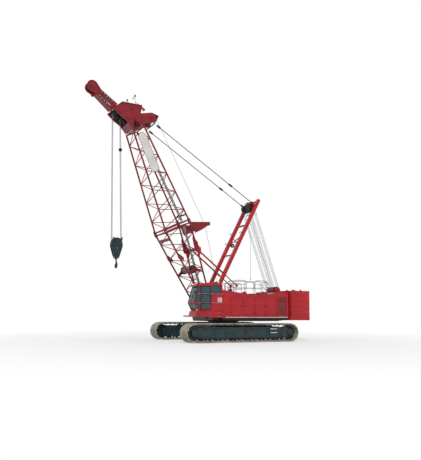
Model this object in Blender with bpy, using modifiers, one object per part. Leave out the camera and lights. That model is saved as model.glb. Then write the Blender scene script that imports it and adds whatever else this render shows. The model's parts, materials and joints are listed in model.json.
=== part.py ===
"""Crawler crane with a lattice boom, as named solids in one shared frame.

Frame: origin on the ground under the slew centre. +X is the boom side, +Y is the
cab side (the crane's left), +Z is up. Lengths are in metres, angles in degrees.
"""
import math
import bpy
import bmesh
from mathutils import Vector

# ---- overall sizes -------------------------------------------------------
TRACK_L = 8.81        # length over the shoes
TRACK_H = 1.31        # height of a track
SHOE_W = 1.23         # shoe width
GAUGE = 5.68          # track centre to track centre
TRACK_X = 0.08        # track centre ahead of the slew centre
N_SHOES = 50          # shoes on one track
BAND = 0.15           # shoe and link thickness
FRAME_W = 1.00        # crawler frame width
WHEEL_W = 0.90        # sprocket and idler width
CB_Z0, CB_Z1 = 0.45, 1.15     # carbody bottom and top
SLEW_R = 1.20         # slew ring radius

BED_Z0 = 1.42         # underside of the rotating bed
BED_H = 0.30          # depth of the bed
BED_Z1 = BED_Z0 + BED_H
BED_W = 1.18          # half width of the bed
HOUSE_Y = 2.50        # outer face of the side houses
HOUSE_IN = 1.32       # inner face of the side houses
HOUSE_X1 = 1.38       # front of the side houses
HOUSE_Z0 = BED_Z1 - 0.05      # bottom of the side houses
SHEET = 0.04          # house and cab wall

CW_X0, CW_X1 = -5.90, -4.20   # counterweight rear and front
CW_Y = 2.58                   # half width
CW_Z0, CW_Z1 = 1.50, 3.67

CAB_Y0, CAB_Y1 = 1.62, 2.70
CAB_Z0, CAB_Z1 = 2.13, 4.02
STEP_Z, STEP_T = 1.80, 0.06   # front step, top and thickness

BOOM_FOOT = (1.23, 1.955)     # x, z of the foot pins
BOOM_DEG = 64.5
BOOM_W, BOOM_D = 2.0, 2.0     # chord centres at the joint
BOOM_JOINT = 6.80             # foot pin to the section joint
HEAD_S = 14.30                # foot pin to the start of the head
HEAD_W = 1.50

MAST_FOOT = (1.563, 2.458)
MAST_DEG = 117.1
MAST_L = 9.17
MAST_W = 1.55                 # leg centres
LEG = 0.24                    # leg box size

GAP = 0.0006                  # between nodes that bear on each other
RUN = 0.008                   # round a moving piece

WELD = 1e-5                   # points closer than this are one
CREASE = math.radians(35)     # edges sharper than this stay sharp
ACROSS = (math.pi / 2, 0, 0)  # turns a flat outline up into the x, z plane

FINISHES = {   # linear colour, roughness, metallic
    'red': ((0.45, 0.010, 0.016), 0.40, 0.0),
    'boom_red': ((0.25, 0.008, 0.016), 0.46, 0.0),
    'dark': ((0.004, 0.026, 0.032), 0.50, 0.0),
    'shoe': ((0.38, 0.35, 0.27), 0.58, 0.25),
    'steel': ((0.035, 0.042, 0.044), 0.42, 0.55),
    'rope': ((0.21, 0.21, 0.22), 0.42, 0.7),
    'glass': ((0.05, 0.20, 0.22), 0.08, 0.0),
    'cloth': ((0.035, 0.037, 0.042), 0.85, 0.0),
    'grey': ((0.36, 0.25, 0.29), 0.45, 0.0)}
FINISH_OF = (   # start of a node's name, its finish; the first that fits is used
    ('track_', 'shoe'), ('crawler_frame_', 'dark'), ('carbody', 'dark'), ('slew_ring', 'steel'),
    ('rotating_bed', 'dark'),
    ('hoist_drum', 'steel'), ('boom_hoist_drum', 'steel'), ('butt_winch', 'steel'), ('engine', 'grey'),
    ('handrail_', 'grey'),
    ('windscreen', 'glass'), ('cab_seat', 'cloth'), ('head_sheaves', 'steel'), ('tip_sheave', 'steel'),
    ('mast_sheaves', 'steel'), ('boom_stops', 'red'), ('boom_', 'boom_red'), ('tip_arm', 'boom_red'),
    ('pendant_bracket', 'boom_red'), ('pendant_', 'rope'), ('line_guide', 'boom_red'), ('hoist_', 'rope'),
    ('hook', 'dark'),
    ('', 'red'))

for o in list(bpy.data.objects):
    bpy.data.objects.remove(o, do_unlink=True)


# ---- helpers ---------------------------------------------------------------
def collection(name):
    """New collection in the scene."""
    made = bpy.data.collections.new(name)
    bpy.context.scene.collection.children.link(made)
    return made


PARTS = collection('crawler_crane')
TOOLS = collection('crawler_crane_cutters')


def put(name, mesh, hide):
    """Object for a mesh, among the parts or, when hidden, among the tools."""
    ob = bpy.data.objects.new(name, mesh)
    (TOOLS if hide else PARTS).objects.link(ob)
    ob.hide_render = hide
    if hide:
        ob.display_type = 'WIRE'
    return ob


def from_bmesh(name, bm, hide, smooth=False):
    """Object from a bmesh, facing outward."""
    bmesh.ops.recalc_face_normals(bm, faces=bm.faces)
    mesh = bpy.data.meshes.new(name)
    bm.to_mesh(mesh)
    bm.free()
    if smooth:
        mesh.shade_smooth()
        mesh.set_sharp_from_angle(angle=CREASE)
    return put(name, mesh, hide)


def from_curve(name, curve, hide, smooth=False):
    """Mesh object from a curve, with its doubled points joined."""
    draft = bpy.data.objects.new(name, curve)
    TOOLS.objects.link(draft)
    mesh = bpy.data.meshes.new_from_object(draft.evaluated_get(bpy.context.evaluated_depsgraph_get()))
    bpy.data.objects.remove(draft, do_unlink=True)
    bm = bmesh.new()
    bm.from_mesh(mesh)
    bpy.data.meshes.remove(mesh)
    bmesh.ops.remove_doubles(bm, verts=bm.verts, dist=WELD)
    return from_bmesh(name, bm, hide, smooth)


def poly_curve(name, lines, cyclic):
    """Curve of straight-sided lines."""
    curve = bpy.data.curves.new(name, 'CURVE')
    for pts in lines:
        spline = curve.splines.new('POLY')
        spline.points.add(len(pts) - 1)
        for point, co in zip(spline.points, pts):
            point.co = (*co, 1)
        spline.use_cyclic_u = cyclic
    return curve


def extruded(name, outline, depth, hide, hole=()):
    """Filled outline, pushed half the depth each way. Returns the object and the outline's centre."""
    us, vs = zip(*outline)
    u0, v0 = (min(us) + max(us)) / 2, (min(vs) + max(vs)) / 2
    lines = [[(u - u0, v - v0, 0) for u, v in pts] for pts in (outline, hole) if pts]
    curve = poly_curve(name, lines, True)
    curve.dimensions = '2D'
    curve.fill_mode = 'BOTH'
    curve.extrude = depth / 2
    return from_curve(name, curve, hide), u0, v0


def side(name, pts, y0, y1, hide=False, hole=()):
    """Outline in x, z pushed from y0 to y1."""
    ob, x, z = extruded(name, pts, abs(y1 - y0), hide, hole)
    ob.rotation_euler = ACROSS
    ob.location = (x, (y0 + y1) / 2, z)
    return ob


def plan(name, pts, z0, z1, hide=False):
    """Outline in x, y pushed from z0 to z1."""
    ob, x, y = extruded(name, pts, z1 - z0, hide)
    ob.location = (x, y, (z0 + z1) / 2)
    return ob


def box(name, x0, x1, y0, y1, z0, z1, hide=False):
    bm = bmesh.new()
    bmesh.ops.create_cube(bm, size=1.0)
    bmesh.ops.scale(bm, vec=(x1 - x0, y1 - y0, z1 - z0), verts=bm.verts)
    ob = from_bmesh(name, bm, hide)
    ob.location = ((x0 + x1) / 2, (y0 + y1) / 2, (z0 + z1) / 2)
    return ob


def cylinder(name, centre, r, depth, n, hide=False, upright=False):
    """Round piece across the crane, or upright."""
    bm = bmesh.new()
    bmesh.ops.create_cone(bm, cap_ends=True, segments=n, radius1=r, radius2=r, depth=depth)
    ob = from_bmesh(name, bm, hide, smooth=True)
    ob.location = centre
    if not upright:
        ob.rotation_euler = ACROSS
    return ob


def wheel(name, at, r, half, n=16, hide=False, y=0.0):
    """Cylinder across the crane. at: x, z."""
    return cylinder(name, (at[0], y, at[1]), r, 2 * half, n, hide)


def rod(name, a, b, r, n=8, hide=False):
    """Round bar from a to b, with an even number of sides."""
    a, b = Vector(a), Vector(b)
    mid = (a + b) / 2
    curve = poly_curve(name, [(a - mid, b - mid)], False)
    curve.dimensions = '3D'
    curve.bevel_depth = r
    curve.bevel_resolution = n // 2 - 2
    curve.use_fill_caps = True
    ob = from_curve(name, curve, hide, smooth=True)
    ob.location = mid
    return ob


def boolean(ob, other, op):
    """Joins or cuts with a tool, which then moves with the piece."""
    other.parent = ob
    other.matrix_parent_inverse = ob.matrix_basis.inverted()
    m = ob.modifiers.new(op.lower(), 'BOOLEAN')
    m.operation = op
    m.solver = 'EXACT'
    m.object = other


def cut(ob, *others):
    for o in others:
        boolean(ob, o, 'DIFFERENCE')


def add(ob, *others):
    for o in others:
        boolean(ob, o, 'UNION')


def tool(name):
    """Name for a helper that only shapes another node."""
    return 'tool_' + name


def on(line, pts):
    """Outline given along and across a boom or mast, as x, z points."""
    return [line(*p) for p in pts]


def polar(foot, deg):
    """Maps (along, across) to x, z; across is positive to the right of along."""
    c, s = math.cos(math.radians(deg)), math.sin(math.radians(deg))
    return lambda along, across: (foot[0] + along * c + across * s, foot[1] + along * s - across * c)


boom = polar(BOOM_FOOT, BOOM_DEG)
mast = polar(MAST_FOOT, MAST_DEG)
SIDES = (('left', 1), ('right', -1))


# ---- tracks -----------------------------------------------------------------
R_OUT = TRACK_H / 2
STRAIGHT = TRACK_L - TRACK_H


def stadium(t, inset=0.0):
    """Point at t metres along the track's outer line, moved inward by inset."""
    r = R_OUT
    arc = math.pi * r
    t %= 2 * STRAIGHT + 2 * arc
    if t < STRAIGHT:
        return (TRACK_X - STRAIGHT / 2 + t, inset)
    t -= STRAIGHT
    if t < arc:
        a = -math.pi / 2 + t / r
        return (TRACK_X + STRAIGHT / 2 + (r - inset) * math.cos(a), r + (r - inset) * math.sin(a))
    t -= arc
    if t < STRAIGHT:
        return (TRACK_X + STRAIGHT / 2 - t, TRACK_H - inset)
    t -= STRAIGHT
    a = math.pi / 2 + t / r
    return (TRACK_X - STRAIGHT / 2 + (r - inset) * math.cos(a), r + (r - inset) * math.sin(a))


PITCH = (2 * STRAIGHT + 2 * math.pi * R_OUT) / N_SHOES
outline = []
for i in range(N_SHOES):
    t = i * PITCH
    outline += [stadium(t - 0.44 * PITCH), stadium(t + 0.44 * PITCH),
                stadium(t + 0.47 * PITCH, 0.045), stadium(t + 0.53 * PITCH, 0.045)]


def capsule(x0, x1, cz, r, n=8):
    """Slot outline with round ends."""
    pts = [(x1 + r * math.cos(a), cz + r * math.sin(a))
           for a in (-math.pi / 2 + math.pi * i / n for i in range(n + 1))]
    return pts + [(x0 + r * math.cos(a), cz + r * math.sin(a))
                  for a in (math.pi / 2 + math.pi * i / n for i in range(n + 1))]


TX0, TX1 = TRACK_X - STRAIGHT / 2, TRACK_X + STRAIGHT / 2
for label, s in SIDES:
    yc = s * GAUGE / 2
    side('track_' + label, outline, yc - SHOE_W / 2, yc + SHOE_W / 2,
         hole=capsule(TX0, TX1, R_OUT, R_OUT - BAND))
    # the frame fills the loop between the end wheels
    fz0, fz1 = BAND + 0.03, TRACK_H - BAND - 0.05
    frame = side('crawler_frame_' + label,
                 [(TX0 + 0.3, fz0), (TX1 - 0.3, fz0), (TX1 - 0.3, fz1), (TX0 + 0.3, fz1)],
                 yc - FRAME_W / 2, yc + FRAME_W / 2)
    for part, x in (('sprocket_', TX0), ('idler_', TX1)):
        add(frame, wheel(tool(part + label), (x, R_OUT), R_OUT - BAND - 0.01, WHEEL_W / 2, hide=True, y=yc))

# ---- carbody and slew ring --------------------------------------------------
CB_Y = GAUGE / 2 - FRAME_W / 2 - GAP
cb = [(2.3, 1.05), (2.3, CB_Y), (1.1, CB_Y), (0.9, 1.5), (-0.9, 1.5), (-1.1, CB_Y), (-2.3, CB_Y),
      (-2.3, 1.05)]
plan('carbody', cb + [(x, -y) for x, y in reversed(cb)], CB_Z0, CB_Z1)
SLEW_Z = (CB_Z1 + GAP, BED_Z0 - RUN)
cylinder('slew_ring', (0, 0, sum(SLEW_Z) / 2), SLEW_R, SLEW_Z[1] - SLEW_Z[0], 28, upright=True)

# ---- rotating bed -----------------------------------------------------------
bed = box('rotating_bed', -4.10, 1.95, -BED_W, BED_W, BED_Z0, BED_Z1)
for label, s in SIDES:
    fx, fz = BOOM_FOOT
    mx, mz = MAST_FOOT
    lugs = ((side(tool('boom_lug_' + label),
                  [(fx - 0.35, BED_Z1 - 0.1), (fx + 0.30, BED_Z1 - 0.1), (fx + 0.16, fz + 0.17),
                                             (fx - 0.16, fz + 0.17)], s * 1.08, s * 1.17, True)),
            (side(tool('mast_lug_' + label),
                  [(mx - 0.45, BED_Z1 - 0.1), (mx + 0.35, BED_Z1 - 0.1), (mx + 0.16, mz + 0.18),
                                             (mx - 0.16, mz + 0.18)], s * 0.50, s * 0.635, True)))
    add(bed, *lugs)
add(bed, box(tool('side_decks'), -4.05, HOUSE_X1, -HOUSE_Y, HOUSE_Y, HOUSE_Z0 - 0.10, HOUSE_Z0 - GAP, True),
    box(tool('cab_bracket'), 1.20, 1.93, 0, CAB_Y1 - 0.60, 1.50, HOUSE_Z0 - GAP, True))

# ---- side houses with doors -------------------------------------------------
ROOF = [(-4.05, HOUSE_Z0), (HOUSE_X1, HOUSE_Z0), (HOUSE_X1, 3.60), (-0.35, 3.36), (-0.95, 3.30),
        (-2.55, 3.30), (-3.00, 3.50), (-4.05, 3.50)]
ROOF_IN = [(-4.05 + SHEET, HOUSE_Z0 + SHEET), (HOUSE_X1 - SHEET, HOUSE_Z0 + SHEET),
           (HOUSE_X1 - SHEET, 3.54), (-0.35, 3.31),
           (-0.95, 3.25), (-2.54, 3.25), (-2.99, 3.45), (-4.05 + SHEET, 3.45)]
DOOR_Z = (1.82, 3.16)
DOORS = {   # side: name, hinge x, free edge x
    'left': (('front', 0.66, -0.25), ('mid_front', -1.16, -0.25), ('mid_rear', -1.27, -2.16),
             ('rear', -3.05, -2.16)),
    'right': (('front', -0.60, -1.65), ('rear', -2.70, -1.65))}
for label, s in SIDES:
    ys = sorted((s * HOUSE_IN, s * HOUSE_Y))
    yi = sorted((s * (HOUSE_IN + SHEET), s * (HOUSE_Y - SHEET)))
    house = side('house_' + label, ROOF, *ys)
    cut(house, side(tool('house_in_' + label), ROOF_IN, *yi, True))
    hinges = [d[1] for d in DOORS[label]]
    for k, (b, a) in enumerate(zip(hinges[::2], hinges[1::2])):
        y0, y1 = sorted((s * (HOUSE_Y - 0.2), s * (HOUSE_Y + 0.1)))
        cut(house, box(tool('bay_%s_%d' % (label, k)), a, b, y0, y1, *DOOR_Z, True))
    for door, hx, ex in DOORS[label]:
        x0, x1 = sorted((hx + math.copysign(RUN, ex - hx), ex - math.copysign(RUN / 2, ex - hx)))
        y0, y1 = sorted((s * (HOUSE_Y - 0.035), s * (HOUSE_Y - 0.005)))
        box('door_%s_%s' % (door, label), x0, x1, y0, y1, DOOR_Z[0] + RUN, DOOR_Z[1] - RUN)

# engine and drums, as plain blocks
box('engine', -3.2, -0.6, -2.25, -1.50, HOUSE_Z0 + SHEET + GAP, 2.95)
DRUMS = (('hoist_drum_front', -0.15, 2.42, 0.42), ('hoist_drum_rear', -1.75, 2.40, 0.42),
         ('boom_hoist_drum', -3.15, 2.36, 0.36))
for name, x, z, r in DRUMS:
    drum = wheel(name, (x, z), r, 0.95)
    foot = [(x - 0.30, BED_Z1 + GAP), (x + 0.30, BED_Z1 + GAP), (x + 0.12, z), (x - 0.12, z)]
    for k, y in enumerate((-1.02, 0.92)):
        add(drum, side(tool('%s_%d' % (name, k)), foot, y, y + 0.1, True))

# ---- lower sheaves of the boom hoist ----------------------------------------
SHEAVE_B = (-4.35, 3.72)
frame = side('reeving_frame',
             [(-4.08, BED_Z1 + GAP), (-3.75, BED_Z1 + GAP), (-4.15, 3.85), (-4.50, 3.85), (-4.50, 3.3)],
             -0.60, 0.60)
cut(frame, side(tool('reeving_slot'), [(-4.9, 3.2), (-3.6, 3.2), (-3.6, 4.2), (-4.9, 4.2)], -0.50, 0.50,
                True))
add(frame, wheel(tool('lower_sheaves'), SHEAVE_B, 0.30, 0.51, hide=True))

# ---- counterweight ----------------------------------------------------------
plan('counterweight_tray',
     [(CW_X0, CW_Y), (CW_X1, CW_Y), (CW_X1 + 0.09, CW_Y - 0.3), (CW_X1 + 0.09, -CW_Y + 0.3),
                            (CW_X1, -CW_Y), (CW_X0, -CW_Y)], CW_Z0, CW_Z0 + 0.24)
box('counterweight_centre', CW_X0 + 0.05, -4.75, -0.99, 0.99, CW_Z0 + 0.24 + GAP, 3.1)
STACK = [(CW_X0, CW_Y), (CW_X1 - 0.15, CW_Y), (CW_X1 + 0.09, CW_Y - 0.35), (CW_X1 + 0.09, 1.0),
         (CW_X0, 1.0)]
for label, s in SIDES:
    plan('counterweight_' + label, [(x, s * y) for x, y in STACK], CW_Z0 + 0.24 + GAP, CW_Z1)

# ---- cab --------------------------------------------------------------------
CAB = [(1.45, CAB_Z0), (3.34, CAB_Z0), (3.62, 2.68), (3.27, CAB_Z1 - 0.12), (3.12, CAB_Z1), (1.55, CAB_Z1),
       (1.45, CAB_Z1 - 0.08)]
CAB_IN = [(1.45 + SHEET, CAB_Z0 + SHEET), (3.32, CAB_Z0 + SHEET), (3.575, 2.68), (3.235, CAB_Z1 - 0.14),
          (3.10, CAB_Z1 - SHEET), (1.57, CAB_Z1 - SHEET), (1.45 + SHEET, CAB_Z1 - 0.10)]
cab = side('cab', CAB, CAB_Y0, CAB_Y1)
cut(cab, side(tool('cab_in'), CAB_IN, CAB_Y0 + SHEET, CAB_Y1 - SHEET, True))
DOOR_X = (2.36, 3.12)
for name, pts, y0, y1 in (
        ('rear_side', [(1.62, 3.36), (2.28, 3.36), (2.28, 3.86), (1.62, 3.86)], CAB_Y1 - 0.1, CAB_Y1 + 0.1),
        ('doorway', [(DOOR_X[0], 2.22), (DOOR_X[1], 2.22), (DOOR_X[1], 3.86), (DOOR_X[0], 3.86)],
         CAB_Y1 - 0.1, CAB_Y1 + 0.1),
        ('far_side', [(1.62, 3.10), (3.10, 3.10), (3.10, 3.86), (1.62, 3.86)], CAB_Y0 - 0.1, CAB_Y0 + 0.1),
        ('windscreen', [(3.30, 2.74), (3.90, 2.74), (3.60, 3.84), (3.00, 3.84)], CAB_Y0 + 0.07,
         CAB_Y1 - 0.07),
        ('chin', [(3.10, 2.24), (3.60, 2.24), (3.90, 2.62), (3.30, 2.62)], CAB_Y0 + 0.07, CAB_Y1 - 0.07)):
    cut(cab, side(tool('cab_' + name), pts, y0, y1, True))
door = box('cab_door', DOOR_X[0] - 0.04, DOOR_X[1] + 0.04, CAB_Y1 + RUN, CAB_Y1 + RUN + 0.035, 2.19, 3.89)
for k, (z0, z1) in enumerate(((2.28, 2.66), (2.74, 3.27), (3.36, 3.80))):
    cut(door, box(tool('door_pane_%d' % k), DOOR_X[0] + 0.05, DOOR_X[1] - 0.05, CAB_Y1 - 0.2, CAB_Y1 + 0.2,
                  z0, z1, True))
# screen pane set in its opening
side('windscreen', [(3.584, 2.75), (3.594, 2.75), (3.29, 3.83), (3.28, 3.83)], CAB_Y0 + 0.08, CAB_Y1 - 0.08)
seat = side('cab_seat', [(2.05, CAB_Z0 + SHEET + GAP), (2.50, CAB_Z0 + SHEET + GAP), (2.50, 2.50),
                         (2.62, 2.50), (2.62, 2.66),
                         (2.20, 2.68), (2.05, 3.35), (1.93, 3.35), (2.05, 2.50)], 1.90, 2.40)
side('cab_platform', [(HOUSE_X1 + 0.02, HOUSE_Z0), (1.95, HOUSE_Z0), (1.95, STEP_Z - STEP_T),
                      (3.90, STEP_Z - STEP_T), (3.90, STEP_Z), (3.50, STEP_Z), (3.42, CAB_Z0 - GAP),
                      (1.45, CAB_Z0 - GAP),
                      (HOUSE_X1 + 0.02, 1.95)], CAB_Y0 - 0.10, CAB_Y1 - 0.02)

# ---- handrails on the house roofs -------------------------------------------
RAIL_Z = 4.33
for label, s in SIDES:
    y = s * (HOUSE_Y - 0.14)
    posts = (0.40, -0.60, -1.35, -2.36)
    rail = side('handrail_' + label,
                [(posts[0], RAIL_Z - 0.06), (posts[-1], RAIL_Z - 0.06), (posts[-1], RAIL_Z),
                 (posts[0], RAIL_Z)],
                y - 0.025, y + 0.025)
    for k, x in enumerate(posts):
        z0 = 3.30 + max(0.0, (x + 0.95) * 0.17 / 1.56 * 1.25) + 0.012
        add(rail, box(tool('post_%s_%d' % (label, k)), x - 0.03, x + 0.03, y - 0.03, y + 0.03, z0,
                      RAIL_Z - 0.01, True))
    for k, z in enumerate((3.72, 4.02)):
        add(rail, box(tool('bar_%s_%d' % (label, k)), posts[-1], posts[0], y - 0.02, y + 0.02, z, z + 0.04,
                      True))


# ---- lattice boom -----------------------------------------------------------
def lattice(name, stations, bar):
    """Four-chord truss. stations: along, half width, back, front."""
    verts, faces = [], []
    for along, hw, back, fr in stations:
        for across, y in ((back, hw), (back, -hw), (fr, -hw), (fr, hw)):
            x, z = boom(along, across)
            verts.append((x, y, z))
    n = len(stations)
    faces += [[0, 1, 2, 3], [4 * n - 1, 4 * n - 2, 4 * n - 3, 4 * n - 4]]
    for k in range(n - 1):
        a, b = 4 * k, 4 * k + 4
        for i in range(4):
            j = (i + 1) % 4
            quad = (a + i, a + j, b + j, b + i)
            if (k + i) % 2:
                faces += [[quad[0], quad[1], quad[2]], [quad[0], quad[2], quad[3]]]
            else:
                faces += [[quad[0], quad[1], quad[3]], [quad[1], quad[2], quad[3]]]
    bm = bmesh.new()
    made = [bm.verts.new(v) for v in verts]
    for face in faces:
        bm.faces.new([made[i] for i in face])
    ob = from_bmesh(name, bm, False)
    m = ob.modifiers.new('bars', 'WIREFRAME')
    m.thickness = bar
    m.use_replace = True
    m.use_even_offset = True
    m.use_boundary = False
    m.offset = 0.0
    return ob


def between(a, b, t):
    return tuple(p + (q - p) * t for p, q in zip(a, b))


J0 = (BOOM_JOINT - 0.06, BOOM_W / 2, -BOOM_D / 2, BOOM_D / 2)
KNEE = (4.70, BOOM_W / 2, -0.72, 0.80)
FOOT = (1.30, BOOM_W / 2, -0.155, 0.40)
butt = lattice('boom_butt', [FOOT, between(FOOT, KNEE, 0.36), between(FOOT, KNEE, 0.68), KNEE, J0], 0.13)
J1 = (BOOM_JOINT + 0.06, BOOM_W / 2, -BOOM_D / 2, BOOM_D / 2)
J2 = (HEAD_S - 0.07, HEAD_W / 2, -0.72, 0.16)
lattice('boom_top', [between(J1, J2, k / 5) for k in range(6)], 0.12)

# foot ears, one each side, from the pin to the butt frame
for label, s in SIDES:
    ear = [boom(-0.14, -0.09), boom(0.10, -0.15), boom(1.36, -0.24), boom(1.36, 0.48), boom(0.10, 0.15),
           boom(-0.14, 0.09)]
    y0, y1 = sorted((s * 0.93, s * (1.08 - RUN)))
    add(butt, side(tool('boom_foot_' + label), ear, y0, y1, True))

# head: two side plates with a web, open below for the sheaves
HEAD = [(14.30, 0.18), (15.00, 0.34), (15.45, 0.62), (16.05, 0.88), (16.28, 0.10), (15.61, -1.20),
        (15.15, -0.86), (14.30, -0.74)]
head = side('boom_head', on(boom, HEAD), -HEAD_W / 2, HEAD_W / 2)
WELL = HEAD_W / 2 - 0.09      # half width inside the side plates
HEAD_WELL = ((14.80, -0.55), (15.30, -0.70), (15.95, 0.05), (16.6, 1.6), (14.80, 1.2))
HEAD_ARCH = ((14.10, -0.52), (14.62, -0.44), (14.90, -0.26), (14.62, -0.06), (14.10, 0.02))
cut(head, side(tool('head_well'), on(boom, HEAD_WELL), -WELL, WELL, True),
    side(tool('head_arch'), on(boom, HEAD_ARCH), -1, 1, True),
    side(tool('head_hollow'), on(boom, ((14.42, -0.60), (14.75, -0.62), (14.75, 0.14), (14.42, 0.10))),
         -WELL, WELL, True))
for name, at in (('head_sheaves_upper', (15.72, 0.50)), ('head_sheaves_lower', (15.16, 0.06))):
    sheaves = wheel(name, boom(*at), 0.36, 0.30)
    add(sheaves, wheel(tool(name), boom(*at), 0.07, WELL - GAP, 8, hide=True))

TIP = (18.04, 1.48)           # tip sheave, along and across
TIP_R = 0.38                  # round end of the arm
TIP_ARC = [(TIP[0] + TIP_R * math.cos(math.radians(a)), TIP[1] + TIP_R * math.sin(math.radians(a)))
           for a in range(-75, 136, 30)]
ARM = [(16.30, 0.30), (17.60, 1.02)] + TIP_ARC + [(17.40, 1.46), (16.07, 0.90)]
ARM_W = 0.56
arm = side('tip_arm', on(boom, ARM), -ARM_W / 2, ARM_W / 2)
ARM_WELL = ARM_W / 2 - 0.07
cut(arm, side(tool('tip_well'), on(boom, ((17.55, 0.5), (19.0, 1.0), (19.0, 2.4), (17.55, 2.4))), -ARM_WELL,
              ARM_WELL, True),
    side(tool('tip_window'), on(boom, ((16.46, 0.56), (17.30, 1.01), (17.30, 1.25), (16.40, 0.86))), -1, 1,
         True))
tip = wheel('tip_sheave', boom(*TIP), 0.30, 0.16)
add(tip, wheel(tool('tip_pin'), boom(*TIP), 0.06, ARM_WELL - GAP, 8, hide=True))

# rear bracket with the pendant pins
BRACKET = [(15.12, -0.875), (14.92, -1.72), (14.55, -2.12), (14.21, -1.72), (14.36, -1.10), (14.62, -0.79)]
bracket = side('pendant_bracket', on(boom, BRACKET), -0.70, 0.70)
cut(bracket, side(tool('bracket_slot'), on(boom, ((15.5, -1.05), (15.5, -3), (13.5, -3), (13.5, -1.05))),
                  -0.60, 0.60, True))

# line guide above the joint, carried on the rear chords
GUIDE = [(6.71, -1.075), (6.14, -2.50), (6.00, -2.44), (5.88, -1.66), (5.86, -1.075)]
guide = side('line_guide', on(boom, GUIDE), -1.02, 1.02)
cut(guide, side(tool('guide_slot'), on(boom, ((7.2, -0.9), (7.2, -2.20), (5.2, -2.20), (5.2, -0.9))), -0.96,
                0.96, True))

# boom stops between the mast legs
STOP_TOP, STOP_END, STOP_Y = boom(4.70, -0.96), (-0.95, 3.98), 0.47
stops = box('boom_stops', STOP_TOP[0] - 0.10, STOP_TOP[0] + 0.10, -0.90, 0.90, STOP_TOP[1] - 0.10,
            STOP_TOP[1] + 0.10)
for label, s in SIDES:
    a, b = ((x, s * STOP_Y, z) for x, z in (STOP_TOP, STOP_END))
    add(stops, rod(tool('boom_stop_' + label), a, b, 0.06, 8, True))

# winch carried inside the butt
wheel('butt_winch', boom(3.55, 0.10), 0.30, 0.80)

# ---- mast -------------------------------------------------------------------
LEGS = [(-0.14, -0.13), (0.20, -LEG / 2), (MAST_L, -LEG / 2), (MAST_L, LEG / 2), (0.20, LEG / 2),
        (-0.14, 0.13)]
m_ob = side('mast', on(mast, LEGS), MAST_W / 2 - LEG / 2, MAST_W / 2 + LEG / 2)
add(m_ob, side(tool('mast_leg'), on(mast, LEGS), -MAST_W / 2 - LEG / 2, -MAST_W / 2 + LEG / 2, True))
for k, (t, w) in enumerate(((2.0, 0.16), (4.3, 0.14), (6.9, 0.16), (9.02, 0.14))):
    a, b = t - w / 2, t + w / 2
    add(m_ob, side(tool('mast_bar_%d' % k), on(mast, ((a, -0.07), (b, -0.07), (b, 0.07), (a, 0.07))),
                   -MAST_W / 2, MAST_W / 2, True))
SHEAVE_T = mast(8.38, 0.14)
wheel('mast_sheaves', SHEAVE_T, 0.33, MAST_W / 2 - LEG / 2 - GAP)

# ---- pendants ---------------------------------------------------------------
PIN_M = mast(8.62, 0.36)      # mast end
PIN_B = boom(14.10, -1.56)     # boom end
for label, s in SIDES:
    y = s * (MAST_W / 2)
    a, b = Vector((PIN_M[0], y, PIN_M[1])), Vector((PIN_B[0], y, PIN_B[1]))
    w = (b - a).normalized()
    bar = rod('pendant_' + label, a + w * 0.10, b - w * 0.25, 0.035, 8)
    for k, (p, q, r) in enumerate(((a + w * 0.02, a + w * 0.35, 0.07), (a + w * 1.9, a + w * 2.3, 0.06))):
        add(bar, rod(tool('pendant_%s_%d' % (label, k)), p, q, r, 8, True))

# ---- hoist falls and hook block ---------------------------------------------
HANG = (8.49, 15.78)         # where the falls swing from
FALL_X = 8.20                # rear fall
HOOK_X = 8.32
BLOCK_TOP, BLOCK_BOT = 7.20, 5.72
rod('hoist_fall', (FALL_X, 0, 14.3), (FALL_X - 0.01, 0, 13.7), 0.03, 6)
cheek = [(HOOK_X - 0.20, BLOCK_TOP), (HOOK_X + 0.20, BLOCK_TOP), (HOOK_X + 0.44, 6.86),
         (HOOK_X + 0.44, 6.50), (HOOK_X + 0.20, 5.95),
         (HOOK_X + 0.16, BLOCK_BOT), (HOOK_X - 0.16, BLOCK_BOT), (HOOK_X - 0.20, 5.95),
         (HOOK_X - 0.44, 6.50), (HOOK_X - 0.44, 6.86)]
side('hook_block', cheek, -0.20, 0.20)
hz = BLOCK_BOT - 0.012
HOOK = [(-0.05, 0.0), (0.05, 0.0), (0.05, -0.18), (0.16, -0.30), (0.20, -0.46), (0.12, -0.62),
        (-0.04, -0.68), (-0.20, -0.60),
        (-0.25, -0.42), (-0.20, -0.32), (-0.14, -0.42), (-0.10, -0.52), (0.00, -0.56), (0.08, -0.50),
        (0.10, -0.42), (0.05, -0.33), (-0.05, -0.20)]
hook, y, z = extruded('hook', [(y, hz + z) for y, z in HOOK], 0.12, False)
hook.rotation_euler = (math.pi / 2, 0, math.pi / 2)
hook.location = (HOOK_X, y, z)

# ---- boom hoist rope ends ---------------------------------------------------
A, B = Vector((SHEAVE_B[0], 0, SHEAVE_B[1])), Vector((SHEAVE_T[0], 0, SHEAVE_T[1]))
w = (B - A).normalized()
for name, p, q in (('hoist_rope_low', A + w * 0.40, A + w * 0.75),
                   ('hoist_rope_high', B - w * 1.35, B - w * 0.98)):
    n = Vector((-w.z, 0, w.x))
    c = [p + n * 0.05, q + n * 0.05, q - n * 0.05, p - n * 0.05]
    side(name, [(v.x, v.z) for v in c], -0.40, 0.40)

# ---- finishes and joint axes -------------------------------------------------
for ob in PARTS.objects:
    colour, rough, metal = FINISHES[next(kind for start, kind in FINISH_OF if ob.name.startswith(start))]
    finish = bpy.data.materials.new(ob.name + '_finish')
    finish.use_nodes = True
    shader = finish.node_tree.nodes['Principled BSDF']
    shader.inputs['Base Color'].default_value = (*colour, 1)
    shader.inputs['Roughness'].default_value = rough
    shader.inputs['Metallic'].default_value = metal
    ob.data.materials.append(finish)


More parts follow.
